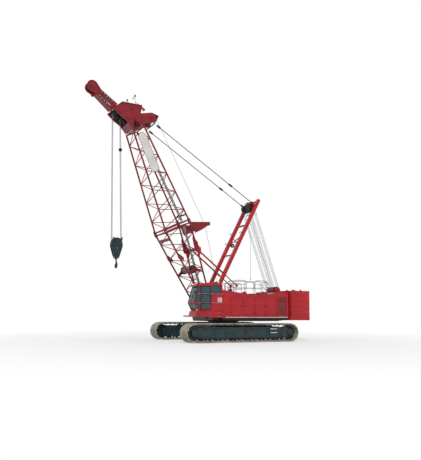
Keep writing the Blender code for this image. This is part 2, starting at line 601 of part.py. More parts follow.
def axis(name, place, nodes, parent=None):
    """Empty on a joint's axis, carrying the nodes that move about it."""
    pivot = bpy.data.objects.new(name, None)
    PARTS.objects.link(pivot)
    pivot.location = Vector(place)
    if parent:
        pivot.parent = parent
        pivot.matrix_parent_inverse = parent_inverse(parent)
    for node in nodes:
        ob = PARTS.objects[node]
        ob.parent = pivot
        ob.matrix_parent_inverse = parent_inverse(pivot)
    return pivot


def parent_inverse(ob):
    """Inverse of where an empty stands, following its own parents."""
    m = ob.matrix_basis
    while ob.parent:
        m = ob.parent.matrix_basis @ ob.matrix_parent_inverse @ m
        ob = ob.parent
    return m.inverted()


FIXED = ('track_', 'crawler_frame_', 'carbody', 'slew_ring')
ON_BOOM = ('boom_butt', 'boom_top', 'boom_head', 'head_sheaves_upper', 'head_sheaves_lower', 'tip_arm',
           'tip_sheave',
           'pendant_bracket', 'line_guide', 'boom_stops', 'butt_winch')
ON_MAST = ('mast', 'mast_sheaves', 'pendant_left', 'pendant_right')
ON_LINES = ('hoist_fall', 'hook_block', 'hook', 'hoist_rope_low', 'hoist_rope_high', 'cab_door')
DOOR_NODES = ['door_%s_%s' % (door[0], label) for label, _ in SIDES for door in DOORS[label]]
turning = [ob.name for ob in PARTS.objects if not ob.name.startswith(FIXED)
           and ob.name not in ON_BOOM + ON_MAST + ON_LINES + tuple(DOOR_NODES)]
slew = axis('slew_axis', (0, 0, BED_Z0), turning)
boom_axis = axis('boom_axis', (BOOM_FOOT[0], 0, BOOM_FOOT[1]), ON_BOOM, slew)
axis('mast_axis', (MAST_FOOT[0], 0, MAST_FOOT[1]), ON_MAST, slew)
hang = axis('hoist_line_axis', (HANG[0], 0, HANG[1]), ('hoist_fall',), boom_axis)
block = axis('hook_height_axis', (HOOK_X, 0, BLOCK_TOP), ('hook_block',), hang)
axis('hook_swivel_axis', (HOOK_X, 0, BLOCK_BOT), ('hook',), block)
tackle = axis('tackle_axis', (SHEAVE_B[0], 0, SHEAVE_B[1]), ('hoist_rope_low',), slew)
axis('tackle_reach_axis', (SHEAVE_B[0], 0, SHEAVE_B[1]), ('hoist_rope_high',), tackle)
axis('cab_door_axis', (DOOR_X[1], CAB_Y1, CAB_Z0), ('cab_door',), slew)
for label, s in SIDES:
    for name, hinge, _ in DOORS[label]:
        node = 'door_%s_%s' % (name, label)
        axis(node + '_axis', (hinge, s * HOUSE_Y, DOOR_Z[0]), (node,), slew)
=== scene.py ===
"""Looks of the crawler crane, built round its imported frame.

Frame: origin on the ground under the slew centre, +X towards the boom, +Y towards the
cab side, +Z up. Metres and degrees. "along" runs up the boom or mast from its foot pin,
and "across" is square to it: positive is the boom's lower side and the mast's front.
"""
import json
import math

import bmesh
import bpy
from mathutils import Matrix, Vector


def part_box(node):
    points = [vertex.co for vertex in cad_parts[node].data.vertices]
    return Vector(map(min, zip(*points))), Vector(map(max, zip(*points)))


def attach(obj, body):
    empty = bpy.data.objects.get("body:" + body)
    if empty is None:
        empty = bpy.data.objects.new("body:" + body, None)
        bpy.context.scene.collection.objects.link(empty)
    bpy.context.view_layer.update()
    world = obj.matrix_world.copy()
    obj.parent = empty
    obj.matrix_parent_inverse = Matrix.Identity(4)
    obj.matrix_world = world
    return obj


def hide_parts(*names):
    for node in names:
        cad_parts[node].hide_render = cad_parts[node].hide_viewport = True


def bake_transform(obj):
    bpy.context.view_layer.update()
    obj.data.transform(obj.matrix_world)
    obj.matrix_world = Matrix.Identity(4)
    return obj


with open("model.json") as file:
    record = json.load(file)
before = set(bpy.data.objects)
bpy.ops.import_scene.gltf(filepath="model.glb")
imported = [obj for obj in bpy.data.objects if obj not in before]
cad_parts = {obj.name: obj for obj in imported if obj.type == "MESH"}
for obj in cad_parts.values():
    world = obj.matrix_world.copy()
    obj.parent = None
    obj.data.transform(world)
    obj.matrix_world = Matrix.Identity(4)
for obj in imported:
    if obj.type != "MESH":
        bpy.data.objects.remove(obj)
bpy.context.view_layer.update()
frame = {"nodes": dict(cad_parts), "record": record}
NODES = frame["nodes"]
PIN = {j["name"]: j["pos_m"] for j in frame["record"]["behaviour"]["joints"] if "pos_m" in j}

BOOM_DEG, MAST_DEG = 64.5, 117.1
SIDES = (("left", 1), ("right", -1))


def polar(foot, deg):
    """Maps along, across and y to a point."""
    c, s = math.cos(math.radians(deg)), math.sin(math.radians(deg))
    return lambda along, across, y=0.0: Vector((foot[0] + along * c + across * s, y,
                                                foot[2] + along * s - across * c))


boom = polar(PIN["boom_luff"], BOOM_DEG)
mast = polar(PIN["mast_pivot"], MAST_DEG)
MAST_AXLE = (8.38, 0.14)      # along, across
TACKLE_Y = [s * (0.16 + 0.15 * k) for s in (-1, 1) for k in range(3)]      # rope wheels at both ends


# ---- camera, light and floor -------------------------------------------------
CAM_POS = (20.82, 40.27, 2.06)
CAM_YAW, CAM_PITCH, CAM_ROLL = 25.317, 5.775, 0.299
CAM_LENS = 47.58
CAM_SHIFT = (0.0184, 0.0449)
FLOOR_HALF, FLOOR_Z = 400, -0.001


def make_camera():
    yaw, pitch, roll = (math.radians(a) for a in (CAM_YAW, CAM_PITCH, CAM_ROLL))
    look = Vector((-math.sin(yaw) * math.cos(pitch), -math.cos(yaw) * math.cos(pitch), math.sin(pitch)))
    right = Vector((-math.cos(yaw), math.sin(yaw), 0.0))
    up = right.cross(look)
    x = right * math.cos(roll) + up * math.sin(roll)
    y = up * math.cos(roll) - right * math.sin(roll)
    data = bpy.data.cameras.new("camera")
    data.lens = CAM_LENS
    data.shift_x, data.shift_y = CAM_SHIFT
    data.clip_end = 500.0
    cam = bpy.data.objects.new("camera", data)
    bpy.context.scene.collection.objects.link(cam)
    m = cam.matrix_world.copy()
    for k, axis in enumerate((x, y, -look)):
        for i in range(3):
            m[i][k] = axis[i]
    m.translation = Vector(CAM_POS)
    cam.matrix_world = m
    bpy.context.scene.camera = cam


def seen_directly(nodes, links):
    """1 for camera, glossy and transmission rays, else 0."""
    path = nodes.new("ShaderNodeLightPath")
    a = nodes.new("ShaderNodeMath")
    a.operation = "MAXIMUM"
    b = nodes.new("ShaderNodeMath")
    b.operation = "MAXIMUM"
    links.new(path.outputs["Is Camera Ray"], a.inputs[0])
    links.new(path.outputs["Is Glossy Ray"], a.inputs[1])
    links.new(a.outputs[0], b.inputs[0])
    links.new(path.outputs["Is Transmission Ray"], b.inputs[1])
    return b.outputs[0]


def make_light():
    world = bpy.data.worlds.new("studio")
    bpy.context.scene.world = world
    world.use_nodes = True
    nodes, links = world.node_tree.nodes, world.node_tree.links
    nodes.clear()
    out = nodes.new("ShaderNodeOutputWorld")
    mix = nodes.new("ShaderNodeMixShader")
    soft = nodes.new("ShaderNodeBackground")
    soft.inputs["Color"].default_value = (0.93, 0.96, 1.0, 1)
    soft.inputs["Strength"].default_value = 0.50
    white = nodes.new("ShaderNodeBackground")
    white.inputs["Color"].default_value = (1, 1, 1, 1)
    white.inputs["Strength"].default_value = 1.0
    links.new(seen_directly(nodes, links), mix.inputs[0])
    links.new(soft.outputs[0], mix.inputs[1])
    links.new(white.outputs[0], mix.inputs[2])
    links.new(mix.outputs[0], out.inputs["Surface"])
    for name, strength, tilt, turn, size in (("key", 1.25, 48, -28, 12), ("fill", 0.35, 62, 62, 25)):
        lamp = bpy.data.lights.new(name, "SUN")
        lamp.energy = strength
        lamp.angle = math.radians(size)
        ob = bpy.data.objects.new(name, lamp)
        ob.rotation_euler = (math.radians(tilt), 0, math.radians(180 + turn))
        bpy.context.scene.collection.objects.link(ob)
    bpy.context.scene.view_settings.view_transform = "Standard"


def make_floor():
    s = Shape()
    s.block(-FLOOR_HALF, FLOOR_HALF, -FLOOR_HALF, FLOOR_HALF, -0.5, FLOOR_Z)
    mat = bpy.data.materials.new("floor")
    mat.use_nodes = True
    nodes, links = mat.node_tree.nodes, mat.node_tree.links
    shader = nodes["Principled BSDF"]
    shader.inputs["Base Color"].default_value = (0.86, 0.86, 0.86, 1)
    shader.inputs["Roughness"].default_value = 0.9
    glow = nodes.new("ShaderNodeEmission")
    fade = nodes.new("ShaderNodeMapRange")
    place = nodes.new("ShaderNodeTexCoord")
    reach = nodes.new("ShaderNodeVectorMath")
    reach.operation = "LENGTH"
    both = nodes.new("ShaderNodeMath")
    both.operation = "MULTIPLY"
    mix = nodes.new("ShaderNodeMixShader")
    links.new(place.outputs["Object"], reach.inputs[0])
    links.new(reach.outputs["Value"], fade.inputs["Value"])
    fade.inputs["From Min"].default_value = 5.0
    fade.inputs["From Max"].default_value = 26.0
    fade.inputs["To Min"].default_value = 0.45
    links.new(fade.outputs["Result"], both.inputs[0])
    links.new(seen_directly(nodes, links), both.inputs[1])
    links.new(both.outputs[0], mix.inputs[0])
    links.new(shader.outputs[0], mix.inputs[1])
    links.new(glow.outputs[0], mix.inputs[2])
    links.new(mix.outputs[0], nodes["Material Output"].inputs["Surface"])
    me = bpy.data.meshes.new("floor")
    me.from_pydata(s.verts, [], s.faces)
    me.materials.append(mat)
    ob = bpy.data.objects.new("floor", me)
    bpy.context.scene.collection.objects.link(ob)


# ---- materials -----------------------------------------------------------------
MIX_FACTOR, MIX_A, MIX_B, MIX_RESULT = 0, 6, 7, 2     # colour sockets of the mix node
DUST = (0.34, 0.30, 0.235)
DUST_TOP, DUST_FULL = 2.0, 0.1     # heights where dust begins and is full
SPECULAR = 0.32


def material(name, colour, rough, metal=0.0, vary=0.12, dirt=(0.10, 0.08, 0.06), grime=0.35, chip=None,
             chips=0.0, dust=0.0, grain=60.0, bump=0.08, coat=0.0):
    """Painted or bare surface: patchy tone, rain streaks, chips, dust low down, fine grain."""
    mat = bpy.data.materials.new(name)
    mat.use_nodes = True
    nodes, links = mat.node_tree.nodes, mat.node_tree.links
    shader = nodes["Principled BSDF"]
    shader.inputs["Metallic"].default_value = metal
    shader.inputs["Coat Weight"].default_value = coat
    shader.inputs["Specular IOR Level"].default_value = SPECULAR
    place = nodes.new("ShaderNodeTexCoord").outputs["Object"]

    def noise(scale, detail, stretch=(1, 1, 1)):
        m = nodes.new("ShaderNodeMapping")
        m.inputs["Scale"].default_value = stretch
        links.new(place, m.inputs["Vector"])
        n = nodes.new("ShaderNodeTexNoise")
        n.inputs["Scale"].default_value = scale
        n.inputs["Detail"].default_value = detail
        links.new(m.outputs[0], n.inputs["Vector"])
        return n.outputs["Fac"]

    def ramp(value, lo, hi, top=1.0):
        r = nodes.new("ShaderNodeMapRange")
        r.interpolation_type = "SMOOTHSTEP"
        r.inputs["From Min"].default_value = lo
        r.inputs["From Max"].default_value = hi
        r.inputs["To Max"].default_value = top
        links.new(value, r.inputs["Value"])
        return r.outputs["Result"]

    def sums(op, a, b):
        m = nodes.new("ShaderNodeMath")
        m.operation = op
        for socket, value in ((m.inputs[0], a), (m.inputs[1], b)):
            if isinstance(value, float):
                socket.default_value = value
            else:
                links.new(value, socket)
        return m.outputs[0]

    def colour_mix(fac, a, b):
        """Mix of two colours. The node's colour sockets are picked by number."""
        m = nodes.new("ShaderNodeMix")
        m.data_type = "RGBA"
        links.new(fac, m.inputs[MIX_FACTOR])
        for socket, value in ((m.inputs[MIX_A], a), (m.inputs[MIX_B], b)):
            if isinstance(value, tuple):
                socket.default_value = (*value, 1)
            else:
                links.new(value, socket)
        return m.outputs[MIX_RESULT]

    dark = tuple(c * (1 - 2.2 * vary) for c in colour)
    pale = tuple(min(1.0, c * (1 + vary) + 0.01 * vary) for c in colour)
    tone = colour_mix(ramp(noise(0.9, 5), 0.32, 0.68), dark, pale)
    streak = ramp(noise(1.0, 6, (3.2, 3.2, 0.28)), 0.52, 0.78, grime)
    tone = colour_mix(streak, tone, dirt)
    spots = ramp(noise(7.0, 8), 0.60, 0.74, grime * 0.6)
    tone = colour_mix(spots, tone, dirt)
    rough_map = sums("ADD", ramp(noise(5.0, 4), 0.3, 0.7, 0.16), rough - 0.08)
    rough_map = sums("ADD", rough_map, sums("MULTIPLY", streak, 0.25))
    if dust:
        split = nodes.new("ShaderNodeSeparateXYZ")
        links.new(place, split.inputs[0])
        low = ramp(split.outputs["Z"], DUST_TOP, DUST_FULL)
        veil = sums("MULTIPLY", low, ramp(noise(2.6, 7), 0.30, 0.66, dust))
        tone = colour_mix(veil, tone, DUST)
        rough_map = sums("ADD", rough_map, sums("MULTIPLY", veil, 0.3))
    height = noise(grain, 3)
    if chips:
        worn = ramp(noise(11.0, 9), 0.70 - chips, 0.715 - chips)
        tone = colour_mix(worn, tone, chip)
        rough_map = sums("ADD", rough_map, sums("MULTIPLY", worn, 0.15))
        height = sums("SUBTRACT", height, sums("MULTIPLY", worn, 0.8))
    b = nodes.new("ShaderNodeBump")
    b.inputs["Strength"].default_value = bump
    b.inputs["Distance"].default_value = 0.01
    links.new(height, b.inputs["Height"])
    links.new(tone, shader.inputs["Base Color"])
    links.new(rough_map, shader.inputs["Roughness"])
    links.new(b.outputs[0], shader.inputs["Normal"])
    return mat


def rope_material(name, colour):
    """Twisted wire: fine slanting bands in colour and height."""
    mat = material(name, colour, 0.42, metal=0.7, grime=0.25, grain=90.0)
    nodes, links = mat.node_tree.nodes, mat.node_tree.links
    wave = nodes.new("ShaderNodeTexWave")
    wave.bands_direction = "DIAGONAL"
    wave.inputs["Scale"].default_value = 14.0
    wave.inputs["Distortion"].default_value = 1.0
    links.new(nodes.new("ShaderNodeTexCoord").outputs["Object"], wave.inputs["Vector"])
    b = nodes.new("ShaderNodeBump")
    b.inputs["Strength"].default_value = 0.6
    b.inputs["Distance"].default_value = 0.008
    links.new(wave.outputs["Fac"], b.inputs["Height"])
    links.new(b.outputs[0], nodes["Principled BSDF"].inputs["Normal"])
    return mat


def glass_material(name, tint):
    """Tinted glass with faint smears."""
    mat = bpy.data.materials.new(name)
    mat.use_nodes = True
    nodes, links = mat.node_tree.nodes, mat.node_tree.links
    shader = nodes["Principled BSDF"]
    shader.inputs["Transmission Weight"].default_value = 0.55
    shader.inputs["IOR"].default_value = 1.45
    n = nodes.new("ShaderNodeTexNoise")
    n.inputs["Scale"].default_value = 2.2
    n.inputs["Detail"].default_value = 6
    links.new(nodes.new("ShaderNodeTexCoord").outputs["Object"], n.inputs["Vector"])
    smear = nodes.new("ShaderNodeMapRange")
    for socket, value in (("From Min", 0.35), ("From Max", 0.75), ("To Min", 0.02), ("To Max", 0.16)):
        smear.inputs[socket].default_value = value
    links.new(n.outputs["Fac"], smear.inputs["Value"])
    links.new(smear.outputs["Result"], shader.inputs["Roughness"])
    m = nodes.new("ShaderNodeMix")
    m.data_type = "RGBA"
    m.inputs[MIX_A].default_value = (*tint, 1)
    m.inputs[MIX_B].default_value = (*[c * 1.6 + 0.02 for c in tint], 1)
    links.new(n.outputs["Fac"], m.inputs[MIX_FACTOR])
    links.new(m.outputs[MIX_RESULT], shader.inputs["Base Color"])
    return mat


PRIMER = (0.17, 0.045, 0.03)
STEEL = (0.42, 0.41, 0.39)
RED = material("red_enamel", (0.45, 0.010, 0.016), 0.40, vary=0.07, dirt=(0.14, 0.012, 0.012), grime=0.30,
               chip=PRIMER, chips=0.012, grain=45, bump=0.05, coat=0.10)
BOOM_RED = material("boom_enamel", (0.25, 0.008, 0.016), 0.46, vary=0.12, dirt=(0.10, 0.014, 0.014),
                    grime=0.4, chip=PRIMER, chips=0.02, grain=45, bump=0.06, coat=0.05)
DARK = material("dark_teal_enamel", (0.004, 0.026, 0.032), 0.50, vary=0.16, dirt=(0.006, 0.012, 0.012),
                grime=0.4, chip=(0.06, 0.07, 0.06), chips=0.010, dust=0.06, grain=50, bump=0.08, coat=0.1)
BLACK = material("black_enamel", (0.010, 0.013, 0.015), 0.5, vary=0.2, grime=0.3, chip=STEEL, chips=0.01,
                 grain=55)
SHOE = material("track_steel", (0.38, 0.35, 0.27), 0.58, metal=0.25, vary=0.22, dirt=(0.10, 0.085, 0.06),
                grime=0.75, chip=(0.52, 0.49, 0.42), chips=0.06, dust=0.5, grain=26, bump=0.35)
BARE = material("bare_steel", (0.36, 0.36, 0.35), 0.34, metal=0.9, vary=0.12, grime=0.4, grain=80,
                bump=0.12)
SHEAVE = material("sheave_steel", (0.035, 0.042, 0.044), 0.42, metal=0.55, vary=0.2, grime=0.4, grain=60,
                  bump=0.12)
GREY = material("rail_grey", (0.36, 0.25, 0.29), 0.45, vary=0.10, grime=0.4, chip=STEEL, chips=0.02,
                grain=60)
PALE = material("pale_enamel", (0.72, 0.70, 0.66), 0.5, vary=0.06, dirt=(0.30, 0.26, 0.20), grime=0.35,
                grain=60)
TREAD = material("walkway_grey", (0.30, 0.34, 0.31), 0.6, vary=0.15, grime=0.5, chip=STEEL, chips=0.03,
                 grain=18, bump=0.5)
RUBBER = material("rubber", (0.016, 0.016, 0.017), 0.72, vary=0.15, dirt=(0.09, 0.08, 0.07), grime=0.3,
                  grain=70, bump=0.15)
CLOTH = material("seat_cloth", (0.035, 0.037, 0.042), 0.85, vary=0.15, dirt=(0.08, 0.07, 0.06), grime=0.2,
                 grain=220, bump=0.5)
CAST = material("engine_grey", (0.20, 0.21, 0.20), 0.5, metal=0.2, vary=0.15, grime=0.6, grain=40,
                bump=0.25)
LAMP = material("lamp_lens", (0.86, 0.86, 0.82), 0.12, vary=0.04, grime=0.08, grain=30, bump=0.3, coat=0.6)
ROPE = rope_material("hoist_rope", (0.21, 0.21, 0.22))
BAR = rope_material("stay_bar_steel", (0.10, 0.10, 0.105))
GLASS = glass_material("tinted_glass", (0.02, 0.11, 0.13))


# ---- mesh building ---------------------------------------------------------------
class Shape:
    """Points and faces of one piece."""

    def __init__(self):
        self.verts, self.faces = [], []

    def loft(self, loops, ring=False):
        """Skin through loops of equal point counts, with end caps unless they run in a ring."""
        base, n, count = len(self.verts), len(loops[0]), len(loops)
        self.verts += [tuple(p) for lp in loops for p in lp]
        for k in range(count if ring else count - 1):
            a, b = base + k * n, base + (k + 1) % count * n
            self.faces += [(a + i, a + (i + 1) % n, b + (i + 1) % n, b + i) for i in range(n)]
        if not ring:
            self.faces.append(tuple(base + i for i in reversed(range(n))))
            self.faces.append(tuple(base + (count - 1) * n + i for i in range(n)))

    def pipe(self, pts, radius, n=8, ring=False):
        """Round bar through points. radius is one number, or one for each point."""
        pts = [Vector(p) for p in pts]
        radii = radius if isinstance(radius, (list, tuple)) else [radius] * len(pts)
        count, loops, u = len(pts), [], None
        for k, p in enumerate(pts):
            before = pts[(k - 1) % count] if ring or k else pts[0]
            after = pts[(k + 1) % count] if ring or k < count - 1 else pts[-1]
            w = (after - before).normalized()
            if u is None:
                u = w.cross(Vector((0, 1, 0)) if abs(w.y) < 0.8 else Vector((1, 0, 0)))
            u = (u - w * u.dot(w)).normalized()
            v = w.cross(u)
            turn = [2 * math.pi * i / n for i in range(n)]
            loops.append([p + radii[k] * (math.cos(a) * u + math.sin(a) * v) for a in turn])
        self.loft(loops, ring)

    def beam(self, a, b, wide, deep, up=(0, 1, 0)):
        """Square bar from a to b, wide along up."""
        a, b = Vector(a), Vector(b)
        w = (b - a).normalized()
        u = (Vector(up) - w * Vector(up).dot(w)).normalized() * wide / 2
        v = w.cross(u).normalized() * deep / 2
        self.loft([[p + u + v, p + u - v, p - u - v, p - u + v] for p in (a, b)])

    def block(self, x0, x1, y0, y1, z0, z1):
        """Box between two corners. Either y may come first."""
        y0, y1 = sorted((y0, y1))
        self.loft([[(x0, y0, z), (x1, y0, z), (x1, y1, z), (x0, y1, z)] for z in (z0, z1)])

    def plate(self, outline, y0, y1):
        """Outline of x, z points pushed between y0 and y1."""
        y0, y1 = sorted((y0, y1))
        self.loft([[(p[0], y, p[1]) for p in outline] for y in (y0, y1)])

    def sheet(self, points, y0, y1):
        """The same for full points, whose own y is left out."""
        self.plate([(p.x, p.z) for p in points], y0, y1)

    def turned(self, centre, profile, n=24, axis="y"):
        """Closed profile of (radius, place on the axis) points turned round an axis."""
        loops = []
        for k in range(n):
            c, s = math.cos(2 * math.pi * k / n), math.sin(2 * math.pi * k / n)
            spin = {"y": lambda r, t: (r * c, t, r * s), "z": lambda r, t: (r * c, r * s, t),
                    "x": lambda r, t: (t, r * c, r * s)}[axis]
            loops.append([Vector(centre) + Vector(spin(r, t)) for r, t in profile])
        self.loft(loops, ring=True)

    def disc(self, centre, radius, half, n=24, axis="y", bore=0.01, edge=0.0):
        """Flat round piece with a hole and broken edges."""
        rim = radius - edge
        self.turned(centre, [(bore, -half), (rim, -half), (radius, -half + edge),
                             (radius, half - edge), (rim, half), (bore, half)], n, axis)


CREASE = math.radians(38)         # edges sharper than this stay sharp
BEVEL_FROM = math.radians(40)     # and sharper than this are rounded off


def make(name, shape, mat, body, bevel=0.0, replaces=()):
    """Turns a shape into a piece on a body. A body given as (a, b, start, end) is not used, and the piece
    stays fixed where it is.
    """
    me = bpy.data.meshes.new(name)
    me.from_pydata(shape.verts, [], shape.faces)
    bm = bmesh.new()
    bm.from_mesh(me)
    bmesh.ops.recalc_face_normals(bm, faces=bm.faces)
    bm.to_mesh(me)
    bm.free()
    me.shade_smooth()
    me.set_sharp_from_angle(angle=CREASE)
    me.materials.append(mat)
    ob = bpy.data.objects.new(name, me)
    bpy.context.scene.collection.objects.link(ob)
    if bevel:
        m = ob.modifiers.new("edges", "BEVEL")
        m.width = bevel
        m.segments = 2
        m.limit_method = "ANGLE"
        m.angle_limit = BEVEL_FROM
    if isinstance(body, str):
        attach(ob, body)
    else:
        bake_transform(ob)
    if replaces:
        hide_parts(*replaces)
    return ob


def repaint(mat, *nodes):
    """Gives CAD nodes a better finish."""
    for name in nodes:
        for held in NODES[name].material_slots:
            held.material = mat


def smooth_line(points, steps=6):
    """Points on a smooth curve through the given ones."""
    pts = [Vector(p) for p in points]
    out = []
    for k in range(len(pts) - 1):
        p0, p1, p2, p3 = pts[max(k - 1, 0)], pts[k], pts[k + 1], pts[min(k + 2, len(pts) - 1)]
        for i in range(steps):
            t = i / steps
            out.append(0.5 * (2 * p1 + (p2 - p0) * t + (2 * p0 - 5 * p1 + 4 * p2 - p3) * t * t
                              + (3 * p1 - p0 - 3 * p2 + p3) * t ** 3))
    return out + [pts[-1]]


def hoop(shape, x0, x1, y, z0, z1, r=0.022, corner=0.13):
    """Rail of one bent pipe: up, across with rounded corners, and down."""
    corner = min(corner, (x1 - x0) / 2.2)
    arc = [math.pi / 2 * i / 4 for i in range(5)]
    left = [(x0 + corner - corner * math.cos(a), y, z1 - corner + corner * math.sin(a)) for a in arc]
    right = [(x1 - corner + corner * math.sin(a), y, z1 - corner + corner * math.cos(a)) for a in arc]
    shape.pipe([(x0, y, z0)] + left + right + [(x1, y, z0)], r)


def bolts(shape, points, axis="y", r=0.018, out=0.014):
    """Hexagon heads at points."""
    for p in points:
        shape.disc(p, r, out, n=6, axis=axis, bore=0.001)


def sheave(shape, centre, r, w, n=28):
    """Grooved rope wheel with a thin web and a hub."""
    h, groove = w / 2, r - w * 0.35
    side = [(0.05, h), (0.11, h), (0.12, h * 0.4), (r * 0.76, h * 0.4), (r * 0.84, h), (r, h),
            (groove, h * 0.2)]
    shape.turned(centre, [(q, -t) for q, t in side] + side[::-1], n)


def drum_pieces(name, body, centre, r, half, replaces):
    """Winch drum: flanges with bolts and an axle, and rope wound on the barrel."""
    x, _, z = centre
    flanges, rope = Shape(), Shape()
    for s in (-1, 1):
        flanges.disc((x, s * (half - 0.03), z), r, 0.025, 36, bore=0.05, edge=0.012)
        bolts(flanges, [(x + r * 0.55 * math.cos(a), s * (half - 0.005), z + r * 0.55 * math.sin(a))
                        for a in (math.pi / 4 * k for k in range(8))])
    flanges.disc((x, 0, z), 0.07, half + 0.06, 16)
    pitch, core = 0.036, r * 0.72
    turns = int((2 * half - 0.16) / pitch)
    profile = [(0.08, -half + 0.08)]
    for k in range(turns):
        y = -half + 0.08 + pitch * k
        profile += [(core, y), (core + 0.013, y + pitch * 0.3), (core + 0.013, y + pitch * 0.7)]
    profile += [(core, -half + 0.08 + pitch * turns), (0.08, -half + 0.08 + pitch * turns)]
    rope.turned((x, 0, z), profile, 28)
    make(name + "_flanges", flanges, BLACK, body, replaces=replaces)
    make(name + "_wound_rope", rope, ROPE, body)


# ---- crawlers -------------------------------------------------------------------
TRACK = {label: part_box("track_" + label) for label, _ in SIDES}
TRACK_H = TRACK["left"][1][2] - TRACK["left"][0][2]
TRACK_R = TRACK_H / 2
TRACK_X0 = TRACK["left"][0][0] + TRACK_R
TRACK_X1 = TRACK["left"][1][0] - TRACK_R
SHOES, ROLLERS = 50, 12        # shoes and lower rollers a side
BAND = 0.15                    # depth from the ground face to the links' inner face


def track_line(t):
    """Point at t metres round the outside of a track."""
    run, arc = TRACK_X1 - TRACK_X0, math.pi * TRACK_R
    t %= 2 * (run + arc)
    if t < run:
        return Vector((TRACK_X0 + t, 0, 0))
    t -= run
    if t < arc:
        a = t / TRACK_R - math.pi / 2
        return Vector((TRACK_X1 + TRACK_R * math.cos(a), 0, TRACK_R + TRACK_R * math.sin(a)))
    t -= arc
    if t < run:
        return Vector((TRACK_X1 - t, 0, TRACK_H))
    a = (t - run) / TRACK_R + math.pi / 2
    return Vector((TRACK_X0 + TRACK_R * math.cos(a), 0, TRACK_R + TRACK_R * math.sin(a)))


def make_track(label, s):
    lo, hi = TRACK[label]
    yc, half = (lo[1] + hi[1]) / 2, (hi[1] - lo[1]) / 2
    pitch = 2 * (TRACK_X1 - TRACK_X0 + math.pi * TRACK_R) / SHOES
    pads, links = Shape(), Shape()
    h = pitch / 2
    # pad section: (place along the shoe, depth inward from the ground face)
    pad = [(-h + 0.020, 0.016), (-h + 0.036, 0.0), (h - 0.036, 0.0), (h - 0.020, 0.016), (h - 0.020, 0.045),
           (h - 0.075, 0.058), (0.055, 0.075), (-0.055, 0.075), (-h + 0.075, 0.058), (-h + 0.020, 0.045)]
    lug = [(-h + 0.004, 0.045), (h - 0.03, 0.045), (h - 0.03, 0.125), (0.06, 0.142), (-0.06, 0.142),
           (-h + 0.004, 0.125)]
    horn = [(-0.055, 0.07), (0.055, 0.07), (0.03, 0.185), (-0.03, 0.185)]
    for k in range(SHOES):
        a, b = track_line((k - 0.5) * pitch), track_line((k + 0.5) * pitch)
        mid, w = (a + b) / 2, (b - a).normalized()
        inward = Vector((-w.z, 0, w.x))
        place = lambda p, y: tuple(mid + w * p[0] + inward * p[1] + Vector((0, y, 0)))
        for y0, y1 in ((-half, -0.02), (0.02, half)):
            pads.loft([[place((p[0] * q, p[1]), yc + y) for p in pad] for y, q in
                       ((y0, 0.93), (y0 + 0.04, 1.0), (y1 - 0.04, 1.0), (y1, 0.93))])
        for y in (-0.30, 0.30):
            links.loft([[place(p, yc + y + d) for p in lug] for d in (-0.055, 0.055)])
        links.loft([[place(p, yc + d) for p in horn] for d in (-0.09, 0.09)])
        links.pipe([place((h, 0.040), yc - half + 0.03), place((h, 0.040), yc + half - 0.03)], 0.026, 8)
        bolts(pads, [place((p, 0.062), yc + y) for p in (-0.09, 0.09) for y in (-half + 0.10, half - 0.10)],
              "z", 0.020, 0.012)
    make("track_shoes_" + label, pads, SHOE, "undercarriage", bevel=0.006, replaces=("track_" + label,))
    make("track_links_" + label, links, SHOE, "undercarriage")


